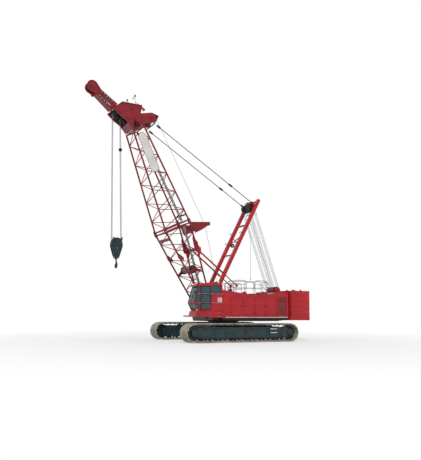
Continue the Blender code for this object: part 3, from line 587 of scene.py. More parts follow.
def make_side_frame(label, s):
    """Frame between the track runs, with its rollers, idler and toothed drive wheel."""
    lo, hi = TRACK[label]
    yc = (lo[1] + hi[1]) / 2
    mid = TRACK_H / 2
    f, wheels, trim, light = Shape(), Shape(), Shape(), Shape()
    x0, x1 = TRACK_X0 + 0.36, TRACK_X1 - 0.36
    outline = [(x0, 0.62), (x0 + 0.18, 0.36), (x1 - 0.18, 0.36), (x1, 0.60), (x1, 0.78), (x1 - 0.16, 1.02),
               (x0 + 0.14, 1.02), (x0, 0.80)]
    f.plate(outline, yc - 0.40, yc + 0.40)
    # cover plates on both faces, reaching past the end wheels' axles
    cover = [(TRACK_X0 - 0.02, 0.50), (TRACK_X0 + 0.42, 0.31), (TRACK_X1 - 0.42, 0.31),
             (TRACK_X1 + 0.05, 0.48), (TRACK_X1 + 0.05, 0.82),
             (TRACK_X1 - 0.40, 1.06), (TRACK_X0 + 0.40, 1.06), (TRACK_X0 - 0.02, 0.82)]
    for y in (-0.46, 0.46):
        trim.plate(cover, yc + y - 0.02, yc + y + 0.02)
    out = yc + s * 0.485
    # raised ledges, a recessed bay look and a row of bolts along the outer cover
    for z, d in ((0.335, 0.05), (1.035, 0.05)):
        trim.block(TRACK_X0 + 0.45, TRACK_X1 - 0.45, out, out + s * 0.03,
                   z - d / 2, z + d / 2)
    for x in (-2.95, -1.72, 0.0, 1.55, 2.35):
        trim.block(x - 0.02, x + 0.02, out, out + s * 0.018, 0.36, 1.01)
    bolts(trim, [(x, out, z) for z in (0.40, 0.97) for x in (-3.0 + 0.4 * k for k in range(16))], r=0.022)
    # step opening with two pale rungs, and its frame; the opening is a thin black plate, painted shade in
    # place of a hole
    sx, sz = -2.28, 0.78
    trim.block(sx - 0.34, sx - 0.30, out, out + s * 0.03, sz - 0.18,
               sz + 0.18)
    trim.block(sx + 0.30, sx + 0.34, out, out + s * 0.03, sz - 0.18,
               sz + 0.18)
    for z in (sz - 0.13, sz + 0.13):
        light.block(sx - 0.27, sx + 0.27, out, out + s * 0.05, z - 0.028,
                    z + 0.028)
    # painted shade: a thin black plate where the step opening's dark inside is
    hole = Shape()
    hole.block(sx - 0.13, sx + 0.10, out, out + s * 0.006, sz - 0.09,
               sz + 0.09)
    # lower and upper rollers
    rail = BAND + 0.135
    for k in range(ROLLERS):
        x = TRACK_X0 + 0.62 + (TRACK_X1 - TRACK_X0 - 1.24) * k / (ROLLERS - 1)
        wheels.turned((x, yc, rail),
                      [(0.03, -0.40), (0.125, -0.40), (0.125, -0.20), (0.09, -0.19),
                       (0.09, 0.19), (0.125, 0.20), (0.125, 0.40), (0.03, 0.40)], 18)
    for x in (-2.2, 0.1, 2.3):
        wheels.turned((x, yc, TRACK_H - BAND - 0.075),
                      [(0.02, -0.36), (0.065, -0.36), (0.065, 0.36), (0.02, 0.36)], 16)
    # drive wheel with teeth behind, idler in front
    teeth = 13
    ring = []
    for k in range(teeth * 4):
        a = 2 * math.pi * k / (teeth * 4)
        r = (0.40, 0.48, 0.48, 0.40)[k % 4]
        ring.append((TRACK_X0 + r * math.cos(a), mid + r * math.sin(a)))
    for y in (-0.18, 0.18):
        wheels.plate(ring, yc + y - 0.05, yc + y + 0.05)
    wheels.turned((TRACK_X1, yc, mid),
                  [(0.05, -0.36), (0.44, -0.36), (0.485, -0.32), (0.485, -0.12), (0.42, -0.10),
                   (0.42, 0.10), (0.485, 0.12), (0.485, 0.32), (0.44, 0.36), (0.05, 0.36)], 32)
    for x in (TRACK_X0, TRACK_X1):
        trim.disc((x, yc + s * 0.45, mid), 0.26, 0.10, 28, bore=0.02, edge=0.03)
        trim.disc((x, yc + s * 0.50, mid), 0.15, 0.085, 24, bore=0.02, edge=0.02)
        bolts(trim, [(x + 0.205 * math.cos(a), yc + s * 0.555, mid + 0.205 * math.sin(a))
                     for a in (math.pi / 5 * k for k in range(10))])
    make("side_frame_" + label, f, DARK, "undercarriage", bevel=0.02, replaces=("crawler_frame_" + label,))
    make("side_frame_covers_" + label, trim, DARK, "undercarriage", bevel=0.005)
    make("track_rollers_" + label, wheels, SHEAVE, "undercarriage")
    make("side_frame_rungs_" + label, light, PALE, "undercarriage", bevel=0.008)
    make("side_frame_hole_shade_" + label, hole, BLACK, "undercarriage")


def make_undercarriage():
    for label, s in SIDES:
        make_track(label, s)
        make_side_frame(label, s)
    lo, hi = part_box("carbody")
    body, bolt = Shape(), Shape()
    for s in (-1, 1):
        body.block(-0.85, 0.85, s * 1.55, s * 2.2, hi[2] - 0.02, hi[2] + 0.045)
        for x in (-2.22, 2.22):
            body.block(x - 0.12, x + 0.12, s * 1.6 - 0.5, s * 1.6 + 0.5, hi[2], hi[2] + 0.05)
            places = [(x + d, s * 1.6 + e, hi[2] + 0.05)
                      for d in (-0.07, 0.07) for e in (-0.4, -0.13, 0.13, 0.4)]
            bolts(bolt, places, "z", 0.03, 0.02)
        for x in (-1.7, -1.4, 1.4, 1.7):
            body.plate([(x - 0.02, lo[2] + 0.05), (x + 0.02, lo[2] + 0.05), (x + 0.02, hi[2] - 0.05),
                        (x - 0.02, hi[2] - 0.05)],
                       s * 2.2, s * 2.3)
    ring_lo, ring_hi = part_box("slew_ring")
    ring = Shape()
    teeth = 96
    outline = []
    for k in range(teeth * 4):
        a = 2 * math.pi * k / (teeth * 4)
        r = (1.165, 1.20, 1.20, 1.165)[k % 4]
        outline.append((r * math.cos(a), r * math.sin(a)))
    ring.loft([[(x, y, z) for x, y in outline] for z in (ring_lo[2] + 0.03, ring_lo[2] + 0.15)])
    ring.turned((0, 0, 0), [(0.9, ring_lo[2]), (1.13, ring_lo[2]), (1.13, ring_hi[2] - 0.004),
                            (0.9, ring_hi[2] - 0.004)], 64, "z")
    bolts(bolt, [(1.30 * math.cos(a), 1.30 * math.sin(a), hi[2] + 0.01)
                 for a in (math.pi / 20 * k for k in range(40))], "z", 0.024, 0.018)
    make("carbody_pads", body, DARK, "undercarriage", bevel=0.008)
    make("carbody_bolts", bolt, BARE, "undercarriage")
    make("slew_ring_teeth", ring, SHEAVE, "undercarriage", replaces=("slew_ring",))
    repaint(DARK, "carbody")


# ---- upperworks ------------------------------------------------------------------
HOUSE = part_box("house_left")
HOUSE_Y = HOUSE[1][1]
ROOF = ((-4.05, 3.50), (-3.00, 3.50), (-2.55, 3.30), (-0.95, 3.30), (-0.35, 3.36), (1.38, 3.60))
DOORS = {"left": ((0.66, -0.25), (-1.16, -0.25), (-1.27, -2.16), (-3.05, -2.16)),
         "right": ((-0.60, -1.65), (-2.70, -1.65))}
DOOR_NODES = {"left": ("front", "mid_front", "mid_rear", "rear"), "right": ("front", "rear")}
DOOR_Z = (1.82, 3.16)


def roof_z(x):
    for (x0, z0), (x1, z1) in zip(ROOF, ROOF[1:]):
        if x0 <= x <= x1:
            return z0 + (z1 - z0) * (x - x0) / (x1 - x0)
    return ROOF[0][1]


def make_house(label, s):
    y = s * HOUSE_Y
    trim, dark, pale, tread, metal = Shape(), Shape(), Shape(), Shape(), Shape()

    def on_side(shape, x0, x1, z0, z1, proud, depth=0.01):
        a, b = y - s * depth, y + s * proud
        shape.block(x0, x1, a, b, z0, z1)

    # folded edge along the roof line, outer and inner
    for (x0, z0), (x1, z1) in zip(ROOF, ROOF[1:]):
        for yy in (y - s * 0.012, s * (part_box("house_left")[0][1] + 0.012)):
            trim.beam((x0, yy, z0 + 0.012), (x1, yy, z1 + 0.012), 0.045, 0.035)
        tread.beam((x0 + 0.06, s * 1.91, z0 + 0.006), (x1 - 0.06, s * 1.91, z1 + 0.006), 0.98, 0.012)
        run = Vector((x1 - x0, 0, z1 - z0))
        for k in range(int(run.length / 0.12)):
            p = Vector((x0, 0, z0 + 0.016)) + run * ((k + 0.5) / int(run.length / 0.12))
            tread.beam(p + Vector((0, s * 1.45, 0)), p + Vector((0, s * 2.36, 0)), 0.025, 0.010, (1, 0, 0))
    # seams at the panel joints, foot strip, corner posts, and a black strip below the foot strip as painted
    # shade of the channel there
    for x in (-3.98, -3.13, 1.30, 0.74):
        on_side(trim, x - 0.022, x + 0.022, 1.72, roof_z(x) - 0.03, 0.010)
    on_side(pale, -4.02, 1.10, 1.690, 1.735, 0.014)
    on_side(dark, -4.03, 1.36, 1.575, 1.665, 0.004, 0.2)
    # lifting lugs that stand up from the roof edge
    for x in (-0.41, -2.18):
        top = roof_z(x)
        arc = [math.pi * k / 10 for k in range(11)]
        trim.plate([(x + 0.22 * math.cos(a), top - 0.02 + 0.20 * math.sin(a)) for a in arc],
                   y - s * 0.05 - 0.02, y - s * 0.05 + 0.02)
    if label == "right":
        trim.plate([(-3.05 + 0.2 * math.cos(a), 3.48 + 0.16 * math.sin(a)) for a in arc],
                   y - s * 0.05 - 0.02, y - s * 0.05 + 0.02)
    # louvre bank behind the doors, black as painted shade of the recessed bay there
    for k in range(12):
        z = 1.90 + 0.105 * k
        a, b = y - s * 0.012, y + s * 0.022
        dark.loft([[(xx, a, z), (xx, b, z + 0.012), (xx, b, z + 0.022), (xx, a, z + 0.075)]
                   for xx in (-3.92, -3.20)])
    on_side(trim, -3.96, -3.92, 1.84, 3.20, 0.026)
    on_side(trim, -3.20, -3.16, 1.84, 3.20, 0.026)
    on_side(trim, -3.96, -3.16, 3.18, 3.22, 0.026)
    # hinges stay with the house
    for hx, _ in DOORS[label]:
        for z in (2.02, 2.49, 2.96):
            metal.pipe([(hx, y + s * 0.012, z - 0.07), (hx, y + s * 0.012, z + 0.07)], 0.013, 8)
    if label == "right":
        # air intake grille and a muffler with its bent pipe
        for k in range(14):
            z = 1.95 + 0.09 * k
            a, b = y - s * 0.012, y + s * 0.020
            dark.loft([[(xx, a, z), (xx, b, z + 0.01), (xx, b, z + 0.02), (xx, a, z + 0.065)]
                       for xx in (-0.25, 0.60)])
        metal.turned((-1.6, s * 1.9, 3.30),
                     [(0.02, 0.05), (0.13, 0.05), (0.15, 0.09), (0.15, 0.52), (0.13, 0.56), (0.02, 0.56)],
                     24, "z")
        metal.pipe(smooth_line([(-1.6, s * 1.9, 3.80), (-1.6, s * 1.9, 4.02), (-1.66, s * 1.9, 4.14),
                                (-1.80, s * 1.9, 4.20)], 4), 0.055, 14)
        metal.turned((0.2, s * 1.85, 3.42),
                     [(0.02, 0.0), (0.10, 0.0), (0.10, 0.22), (0.20, 0.25), (0.21, 0.42), (0.17, 0.48),
                      (0.02, 0.48)], 24, "z")
    make("house_trim_" + label, trim, RED, "upperworks", bevel=0.004)
    # black pieces: the louvre bank and the strip under the foot strip are painted shade; the right side's
    # intake grille is here too
    make("house_louvres_and_shade_" + label, dark, BLACK, "upperworks")
    make("house_foot_strip_" + label, pale, PALE, "upperworks", bevel=0.004)
    make("house_roof_tread_" + label, tread, TREAD, "upperworks")
    make("house_hinges_" + label, metal, SHEAVE, "upperworks")
    repaint(RED, "house_" + label)
    for door, (hx, ex) in zip(DOOR_NODES[label], DOORS[label]):
        body = "door_%s_%s" % (door, label)
        repaint(RED, body)
        leaf, catch = Shape(), Shape()
        yy = y - s * 0.005
        inset = 0.05 * (1 if ex > hx else -1)
        x0, x1 = sorted((hx + inset, ex - inset))
        proud = 0.010
        for a, b, c, d in ((x0, x1, DOOR_Z[0] + 0.06, DOOR_Z[0] + 0.085),
                           (x0, x1, DOOR_Z[1] - 0.085, DOOR_Z[1] - 0.06),
                           (x0, x0 + 0.025, DOOR_Z[0] + 0.06, DOOR_Z[1] - 0.06),
                           (x1 - 0.025, x1, DOOR_Z[0] + 0.06, DOOR_Z[1] - 0.06)):
            leaf.block(a, b, yy, yy + s * proud, c, d)
        hxp = ex - inset * 2.6
        catch.turned((hxp, yy + s * 0.006, 2.50),
                     [(0.001, -0.008), (0.055, -0.008), (0.055, 0.006), (0.048, 0.010), (0.001, 0.010)], 20)
        catch.beam((hxp, yy + s * 0.022, 2.455), (hxp, yy + s * 0.022, 2.545), 0.014, 0.022)
        inner = Shape()
        for z in (2.05, 2.49, 2.93):
            inner.block(x0, x1, yy - s * 0.045, yy - s * 0.028,
                        z - 0.03, z + 0.03)
        make(body + "_swage", leaf, RED, body, bevel=0.003)
        make(body + "_catch", catch, BLACK, body)
        make(body + "_ribs", inner, RED, body, bevel=0.003)


def make_rails():
    for label, s in SIDES:
        rail = Shape()
        y = s * (HOUSE_Y - 0.14)
        for x0, x1 in ((-0.60, 0.40), (-2.36, -1.35)):
            hoop(rail, x0, x1, y, roof_z((x0 + x1) / 2), 4.33)
            for z in (3.74, 4.04):
                rail.pipe([(x0, y, z), (x1, y, z)], 0.016)
            for x in (x0, x1):
                rail.disc((x, y, roof_z(x) + 0.02), 0.05, 0.012, 12, "z", 0.01)
        hoop(rail, -1.35 + 0.04, -0.60 - 0.04, y - s * 0.05, 3.74, 4.22)
        rail.pipe([(-1.35, y, 3.74), (-0.60, y, 3.74)], 0.016)
        hoop(rail, -1.95, -1.70, y - s * 0.04, 3.76, 4.06, 0.014, 0.05)
        # inner rail towards the drums
        yi = s * 1.50
        hoop(rail, -2.36, 0.40, yi, 3.34, 4.30)
        for x in (-1.70, -0.95, -0.25):
            rail.pipe([(x, yi, roof_z(x)), (x, yi, 4.30)], 0.018)
        rail.pipe([(-2.36, yi, 3.84), (0.40, yi, 3.84)], 0.016)
        for x in (0.40, -2.36):
            rail.pipe([(x, y, 4.27), (x, yi, 4.24)], 0.018)
            rail.pipe([(x, y, 3.86), (x, yi, 3.86)], 0.014)
        make("handrail_pipes_" + label, rail, GREY, "upperworks", replaces=("handrail_" + label,))
    ring = Shape()
    ring.pipe([(-2.75 + 0.26 * math.cos(a), 1.55, 4.02 + 0.26 * math.sin(a))
               for a in (math.pi / 12 * k for k in range(24))], 0.018, 8, ring=True)
    ring.pipe([(-2.75, 1.55, 3.76), (-2.75, 1.55, 3.42)], 0.02)
    make("rope_hoop", ring, GREY, "upperworks")


def make_bed():
    repaint(DARK, "rotating_bed")
    ribs, tread, hose = Shape(), Shape(), Shape()
    for s in (-1, 1):
        for x in (-3.6, -2.9, -2.2, -1.5, -0.8, 0.0, 0.7, 1.3):
            ribs.plate([(x - 0.012, 1.43), (x + 0.012, 1.43), (x + 0.012, 1.56), (x - 0.012, 1.56)],
                       s * 1.18, s * 1.55)
        ribs.block(-4.02, 1.30, s * 1.62 - 0.06, s * 1.62 + 0.06, 1.46, 1.57)
        ribs.block(-3.9, 1.2, s * 2.28 - 0.05, s * 2.28 + 0.05, 1.49, 1.57)
    # pin bosses at the boom and mast feet
    for s in (-1, 1):
        fx, _, fz = PIN["boom_luff"]
        ribs.turned((fx, s * 1.19, fz),
                    [(0.02, -0.02), (0.12, -0.02), (0.12, 0.02), (0.09, 0.035), (0.02, 0.035)], 24)
        mx, _, mz = PIN["mast_pivot"]
        ribs.turned((mx, s * 0.50, mz), [(0.02, -0.03), (0.12, -0.03), (0.12, 0.0), (0.02, 0.0)], 24)
    for k in range(16):
        x = -3.4 + 0.24 * k
        if not (-0.65 < x < 0.35 or -2.25 < x < -1.25 or x < -2.7):
            tread.beam((x, -1.02, 1.728), (x, 1.02, 1.728), 0.16, 0.014, (1, 0, 0))
    for k in range(5):
        y = -0.30 + 0.15 * k
        hose.pipe(smooth_line([(1.2, y, 1.76), (0.9, y * 1.1, 1.86), (0.55, y * 1.2, 1.80),
                               (0.48, y * 1.3, 1.74)], 5), 0.022, 8)
    make("bed_ribs", ribs, DARK, "upperworks", bevel=0.004)
    make("bed_treads", tread, TREAD, "upperworks")
    make("bed_hoses", hose, RUBBER, "upperworks")
    for name in ("hoist_drum_front", "hoist_drum_rear", "boom_hoist_drum"):
        d0, d1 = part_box(name)
        r = (d1[0] - d0[0]) / 2
        centre = ((d0[0] + d1[0]) / 2, 0, d1[2] - r)
        drum_pieces(name, "upperworks", centre, r, 0.95, (name,))
        stand = Shape()
        x, _, z = centre
        for y in (-1.0, 1.0):
            stand.plate([(x - 0.34, 1.73), (x + 0.34, 1.73), (x + 0.15, z + 0.06), (x, z + 0.16),
                         (x - 0.15, z + 0.06)], y - 0.022, y + 0.022)
            stand.disc((x, y, z), 0.13, 0.05, 20, bore=0.02, edge=0.01)
        make(name + "_stands", stand, RED, "upperworks", bevel=0.005)


def make_engine():
    lo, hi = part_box("engine")
    e, dark = Shape(), Shape()
    x0, x1 = lo[0] + 0.5, hi[0] - 0.55
    e.block(x0, x1, -2.15, -1.60, 1.85, 2.55)
    e.block(x0 + 0.1, x1 - 0.1, -2.05, -1.70, 2.55, 2.80)
    for k in range(6):
        x = x0 + 0.2 + (x1 - x0 - 0.4) * k / 5
        e.block(x - 0.08, x + 0.08, -2.02, -1.73, 2.80, 2.86)
        e.pipe(smooth_line([(x, -2.06, 2.66), (x, -2.16, 2.70), (x + 0.05, -2.19, 2.84),
                            (x + 0.10, -2.19, 2.90)], 4), 0.035, 10)
    e.pipe([(x0 + 0.2, -2.19, 2.90), (x1 - 0.05, -2.19, 2.90)], 0.05, 12)
    dark.block(hi[0] - 0.40, hi[0], -2.24, -1.51, 1.74, 2.93)
    for k in range(18):
        z = 1.82 + 0.06 * k
        dark.block(hi[0] - 0.43, hi[0] - 0.40, -2.2, -1.55, z, z + 0.02)
    dark.disc((x0 - 0.16, -1.87, 2.2), 0.34, 0.14, 30, "x", edge=0.03)
    dark.block(lo[0], x0 - 0.3, -2.2, -1.55, 1.9, 2.5)
    e.block(lo[0] + 0.1, x1, -2.1, -1.65, 1.712, 1.85)
    make("engine_block", e, CAST, "upperworks", bevel=0.012, replaces=("engine",))
    make("engine_cooler", dark, BLACK, "upperworks", bevel=0.006)


def make_counterweight():
    lo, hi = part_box("counterweight_left")
    repaint(RED, "counterweight_tray", "counterweight_centre")
    slabs = 5
    step = (hi[2] - lo[2]) / slabs
    chamfer = [(lo[0], hi[1]), (hi[0] - 0.24, hi[1]), (hi[0], hi[1] - 0.35), (hi[0], lo[1]), (lo[0], lo[1])]
    for label, s in SIDES:
        stack, lug = Shape(), Shape()
        for k in range(slabs):
            z0, z1 = lo[2] + step * k + 0.0015, lo[2] + step * (k + 1) - 0.0015
            stack.loft([[(x, s * y, z) for x, y in chamfer] for z in (z0, z1)])
            # cast lifting pocket marks near the rear corner of each slab
            y0, y1 = sorted((s * (hi[1] + 0.003), s * (hi[1] + 0.02)))
            lug.block(lo[0] + 0.50, lo[0] + 0.66, y0, y1, z0 + 0.03, z0 + 0.07)
        for x in (lo[0] + 0.5, hi[0] - 0.6):
            for y in (1.35, 2.15):
                lug.plate([(x - 0.09, hi[2] - 0.02), (x + 0.09, hi[2] - 0.02), (x + 0.05, hi[2] + 0.10),
                           (x - 0.05, hi[2] + 0.10)],
                          s * y - 0.02, s * y + 0.02)
        make("counterweight_slabs_" + label, stack, RED, "upperworks", bevel=0.007,
             replaces=("counterweight_" + label,))
        make("counterweight_lugs_" + label, lug, RED, "upperworks", bevel=0.004)
    rods = Shape()
    for s in (-1, 1):
        rods.pipe([(lo[0] + 0.3, s * 0.80, 1.8), (lo[0] + 0.3, s * 0.80, 3.3)], 0.05, 12)
        rods.disc((lo[0] + 0.3, s * 0.80, 3.25), 0.11, 0.05, 6, "z")
    make("counterweight_tie_rods", rods, BARE, "upperworks")


def make_reeving_frame():
    repaint(RED, "reeving_frame")
    c = PIN["tackle_swing"]
    wheels, plates = Shape(), Shape()
    for y in TACKLE_Y:
        sheave(wheels, (c[0], y, c[2]), 0.31, 0.10)
    wheels.disc((c[0], 0, c[2]), 0.055, 0.60, 16)
    for y in (-0.62, 0.62):
        plates.disc((c[0], y, c[2]), 0.13, 0.03, 20, bore=0.02, edge=0.01)
        plates.beam((-3.92, y, 1.80), (-4.30, y, 3.75), 0.05, 0.22)
    plates.beam((-3.98, -0.6, 2.6), (-3.98, 0.6, 2.6), 0.10, 0.10, (0, 0, 1))
    make("lower_sheaves", wheels, SHEAVE, "upperworks")
    make("reeving_frame_plates", plates, RED, "upperworks", bevel=0.006)


# ---- cab ---------------------------------------------------------------------------
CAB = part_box("cab")
CAB_Y0, CAB_Y1 = CAB[0][1], CAB[1][1]


def make_cab():
    repaint(RED, "cab", "cab_platform", "cab_door")
    repaint(GLASS, "windscreen")
    panes, gasket, door_panes, door_gasket = Shape(), Shape(), Shape(), Shape()

    def framed(shape, pts, r=0.013):
        shape.pipe(pts, r, 6, ring=True)

    # side glass (x, z corners) on the body, then on the sliding door
    for pts, yy in ((((1.62, 3.36), (2.28, 3.36), (2.28, 3.86), (1.62, 3.86)), CAB_Y1),
                    (((1.62, 3.10), (3.10, 3.10), (3.10, 3.86), (1.62, 3.86)), CAB_Y0)):
        inner = yy - 0.025 if yy > 2 else yy + 0.015
        panes.plate([(x + (0.004 if x < 2 else -0.004), z + (0.004 if z < 3.5 else -0.004)) for x, z in pts],
                    inner, inner + 0.008)
        framed(gasket, [(x, yy - 0.009 * (yy > 2) + 0.009 * (yy < 2), z) for x, z in pts])
    inset = 0.08
    lower = [(3.38, CAB_Y0 + inset, 2.30), (3.38, CAB_Y1 - inset, 2.30), (3.545, CAB_Y1 - inset, 2.60),
             (3.545, CAB_Y0 + inset, 2.60)]
    panes.loft([[(x + d, yy, z) for x, yy, z in lower] for d in (0.0, 0.008)])
    framed(gasket, [(3.345, CAB_Y0 + 0.07, 2.24), (3.345, CAB_Y1 - 0.07, 2.24), (3.60, CAB_Y1 - 0.07, 2.64),
                    (3.60, CAB_Y0 + 0.07, 2.64)])
    framed(gasket, [(3.615, CAB_Y0 + 0.07, 2.74), (3.615, CAB_Y1 - 0.07, 2.74),
                    (3.305, CAB_Y1 - 0.07, 3.84), (3.305, CAB_Y0 + 0.07, 3.84)])
    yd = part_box("cab_door")[0][1]
    for z0, z1 in ((2.28, 2.66), (2.74, 3.27), (3.36, 3.80)):
        door_panes.block(2.405, 3.075, yd + 0.010, yd + 0.020, z0 - 0.006, z1 + 0.006)
        framed(door_gasket, [(2.41, yd + 0.036, z0), (3.07, yd + 0.036, z0), (3.07, yd + 0.036, z1),
                             (2.41, yd + 0.036, z1)], 0.010)
    door, surround = Shape(), Shape()
    # fixed quarter panes between the doorway and the screen
    for pts in (((3.175, 2.72), (3.575, 2.72), (3.285, 3.86), (3.175, 3.86)),
                ((3.175, 2.28), (3.37, 2.28), (3.565, 2.66), (3.175, 2.66))):
        gasket.plate(pts, CAB_Y1 - 0.003, CAB_Y1 + 0.004)
        mx, mz = (sum(p[k] for p in pts) / 4 for k in (0, 1))
        panes.plate([(mx + (x - mx) * 0.86, mz + (z - mz) * 0.93) for x, z in pts], CAB_Y1, CAB_Y1 + 0.007)
    for x0, x1, z0, z1 in ((2.335, 2.400, 2.22, 3.86), (3.080, 3.145, 2.22, 3.86),
                           (2.400, 3.080, 3.81, 3.86), (2.400, 3.080, 3.28, 3.35),
                           (2.400, 3.080, 2.67, 2.73), (2.400, 3.080, 2.22, 2.27)):
        surround.block(x0, x1, yd + 0.030, yd + 0.037, z0, z1)
    for x0, x1, z0, z1 in ((1.56, 1.61, 3.32, 3.90), (2.29, 2.32, 3.32, 3.90), (1.61, 2.29, 3.87, 3.90),
                           (1.61, 2.29, 3.32, 3.35)):
        gasket.block(x0, x1, CAB_Y1 - 0.003, CAB_Y1 + 0.003, z0, z1)
    make("cab_door_surround", surround, BLACK, "cab_door", bevel=0.002)
    door.block(2.765, 2.79, yd + 0.022, yd + 0.036, 2.28, 2.66)
    surround.block(2.765, 2.79, yd + 0.022, yd + 0.036, 2.74, 3.80)
    door.plate([(2.41, 2.28), (2.56, 2.28), (2.41, 2.58)], yd + 0.022, yd + 0.034)
    door.plate([(3.07, 2.28), (3.07, 2.58), (2.95, 2.28)], yd + 0.022, yd + 0.034)
    handle = Shape()
    hoop_pts = smooth_line([(2.38, yd + 0.035, 2.95), (2.38, yd + 0.075, 2.98), (2.38, yd + 0.075, 3.15),
                            (2.38, yd + 0.035, 3.18)], 4)
    handle.pipe(hoop_pts, 0.010, 8)
    # outside rails that the door passes behind
    rails = Shape()
    for z in (3.315, 2.700):
        yr = CAB_Y1 + 0.085
        rails.pipe([(1.50, yr, z), (3.38, yr, z)], 0.016, 8)
        for x in (1.50, 3.38 if z > 3 else 3.42):
            rails.pipe([(x, CAB_Y1 - 0.01, z), (x, yr, z)], 0.016, 8)
    # ribbed vent behind the door, flat enough for the door to pass
    vent = Shape()
    for k in range(5):
        x = 1.50 + 0.070 * k
        vent.block(x, x + 0.045, CAB_Y1 - 0.004, CAB_Y1 + 0.005, 2.74, 3.06)
    # roof: lip, hatch, beacon
    roof, lamp, dark = Shape(), Shape(), Shape()
    roof.block(1.50, 3.18, CAB_Y0 - 0.012, CAB_Y1 + 0.004, 3.925, 3.975)
    roof.block(1.95, 2.85, 1.85, 2.45, CAB[1][2] - 0.01, CAB[1][2] + 0.035)
    roof.plate([(3.10, 3.94), (3.46, 3.80), (3.47, 3.83), (3.12, 4.0)], CAB_Y0 + 0.04, CAB_Y1 - 0.04)
    for k in range(5):
        roof.block(1.58, 3.05, 1.72 + 0.2 * k - 0.012, 1.72 + 0.2 * k + 0.012, CAB[1][2] - 0.005,
                   CAB[1][2] + 0.018)
    lamp.turned((1.70, 2.55, CAB[1][2]),
                [(0.001, 0.05), (0.055, 0.05), (0.055, 0.15), (0.03, 0.18), (0.001, 0.18)], 20, "z")
    dark.turned((1.70, 2.55, CAB[1][2]), [(0.001, 0.0), (0.065, 0.0), (0.065, 0.05), (0.001, 0.05)], 20,
                "z")
    for y2 in (CAB_Y0 + 0.22, CAB_Y1 - 0.22):
        lamp.turned((3.40, y2, 3.93), [(0.001, 0.07), (0.07, 0.07), (0.072, 0.06), (0.001, 0.055)], 20, "x")
        dark.turned((3.40, y2, 3.93),
                    [(0.001, 0.0), (0.05, 0.0), (0.085, 0.06), (0.078, 0.075), (0.072, 0.062),
                     (0.001, 0.05)], 20, "x")
    lamp.turned((3.40, CAB_Y1 - 0.06, 2.20), [(0.001, 0.0), (0.045, 0.0), (0.045, 0.035), (0.001, 0.05)],
                18)
    # wiper, mirror arms
    dark.pipe([(3.60, 2.15, 2.78), (3.50, 2.20, 3.18), (3.40, 2.30, 3.52)], 0.009, 6)
    dark.beam((3.535, 2.12, 3.05), (3.40, 2.36, 3.52), 0.015, 0.02)
    dark.pipe(smooth_line([(3.30, CAB_Y1, 3.75), (3.42, CAB_Y1 + 0.10, 3.78),
                           (3.55, CAB_Y1 + 0.16, 3.70), (3.56, CAB_Y1 + 0.17, 3.50)], 5), 0.012, 8)
    dark.block(3.535, 3.575, CAB_Y1 + 0.08, CAB_Y1 + 0.26, 3.16, 3.50)
    mirror = Shape()
    mirror.block(3.528, 3.537, CAB_Y1 + 0.095, CAB_Y1 + 0.245, 3.18, 3.48)
    make("cab_panes", panes, GLASS, "upperworks")
    make("cab_gaskets", gasket, RUBBER, "upperworks")
    make("cab_door_panes", door_panes, GLASS, "cab_door")
    make("cab_door_gaskets", door_gasket, RUBBER, "cab_door")
    make("cab_door_frame", door, RED, "cab_door", bevel=0.004)
    make("cab_door_handle", handle, BLACK, "cab_door")
    make("cab_side_rails", rails, GREY, "upperworks")
    make("cab_vent", vent, PALE, "upperworks", bevel=0.002)
    make("cab_roof_details", roof, RED, "upperworks", bevel=0.008)
    make("cab_lamps", lamp, LAMP, "upperworks")
    make("cab_dark_fittings", dark, BLACK, "upperworks")
    make("cab_mirror_glass", mirror, BARE, "upperworks")
    make_cab_inside()
    make_platform()


def cushion(name, x0, x1, y0, y1, z0, z1, tilt=0.0, bow=0.03):
    """Crowned pad with pulled-in sides and two sewn channels."""
    me = bpy.data.meshes.new(name)
    bm = bmesh.new()
    nx, ny = 14, 14
    rows = []
    for face in (1, -1):
        grid = []
        for i in range(nx + 1):
            line = []
            for j in range(ny + 1):
                u, v = i / nx * 2 - 1, j / ny * 2 - 1
                edge = (1 - abs(u) ** 4) * (1 - abs(v) ** 4)
                channel = 0.35 * math.exp(-((abs(v) - 0.45) / 0.07) ** 2) * (face > 0)
                thick = (z1 - z0) / 2 * (0.35 + 0.65 * edge ** 0.5) * (1 - channel * 0.5)
                thick += bow * edge * (face > 0)
                pull = 1 - 0.03 * (1 - abs(u) ** 2) * abs(v) ** 6
                x = (x0 + x1) / 2 + u * (x1 - x0) / 2 * pull
                y = (y0 + y1) / 2 + v * (y1 - y0) / 2 * (1 - 0.03 * (1 - v * v))
                z = (z0 + z1) / 2 + face * thick
                line.append(bm.verts.new((x, y, z)))
            grid.append(line)
        rows.append(grid)
        for i in range(nx):
            for j in range(ny):
                bm.faces.new((grid[i][j], grid[i + 1][j], grid[i + 1][j + 1], grid[i][j + 1]))
    rim = [(i, 0) for i in range(nx)] + [(nx, j) for j in range(ny)]
    rim += [(i, ny) for i in range(nx, 0, -1)] + [(0, j) for j in range(ny, 0, -1)]
    top, low = rows
    for k, (i, j) in enumerate(rim):
        a, b = rim[(k + 1) % len(rim)]
        bm.faces.new((top[i][j], top[a][b], low[a][b], low[i][j]))
    pivot = Vector((x0, 0, z0))
    for v in bm.verts:
        p = v.co - pivot
        c, s = math.cos(tilt), math.sin(tilt)
        v.co = pivot + Vector((p.x * c - p.z * s, p.y, p.x * s + p.z * c))
    bmesh.ops.recalc_face_normals(bm, faces=bm.faces)
    bm.to_mesh(me)
    bm.free()
    me.shade_smooth()
    me.materials.append(CLOTH)
    ob = bpy.data.objects.new(name, me)
    bpy.context.scene.collection.objects.link(ob)
    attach(ob, "upperworks")
    return ob


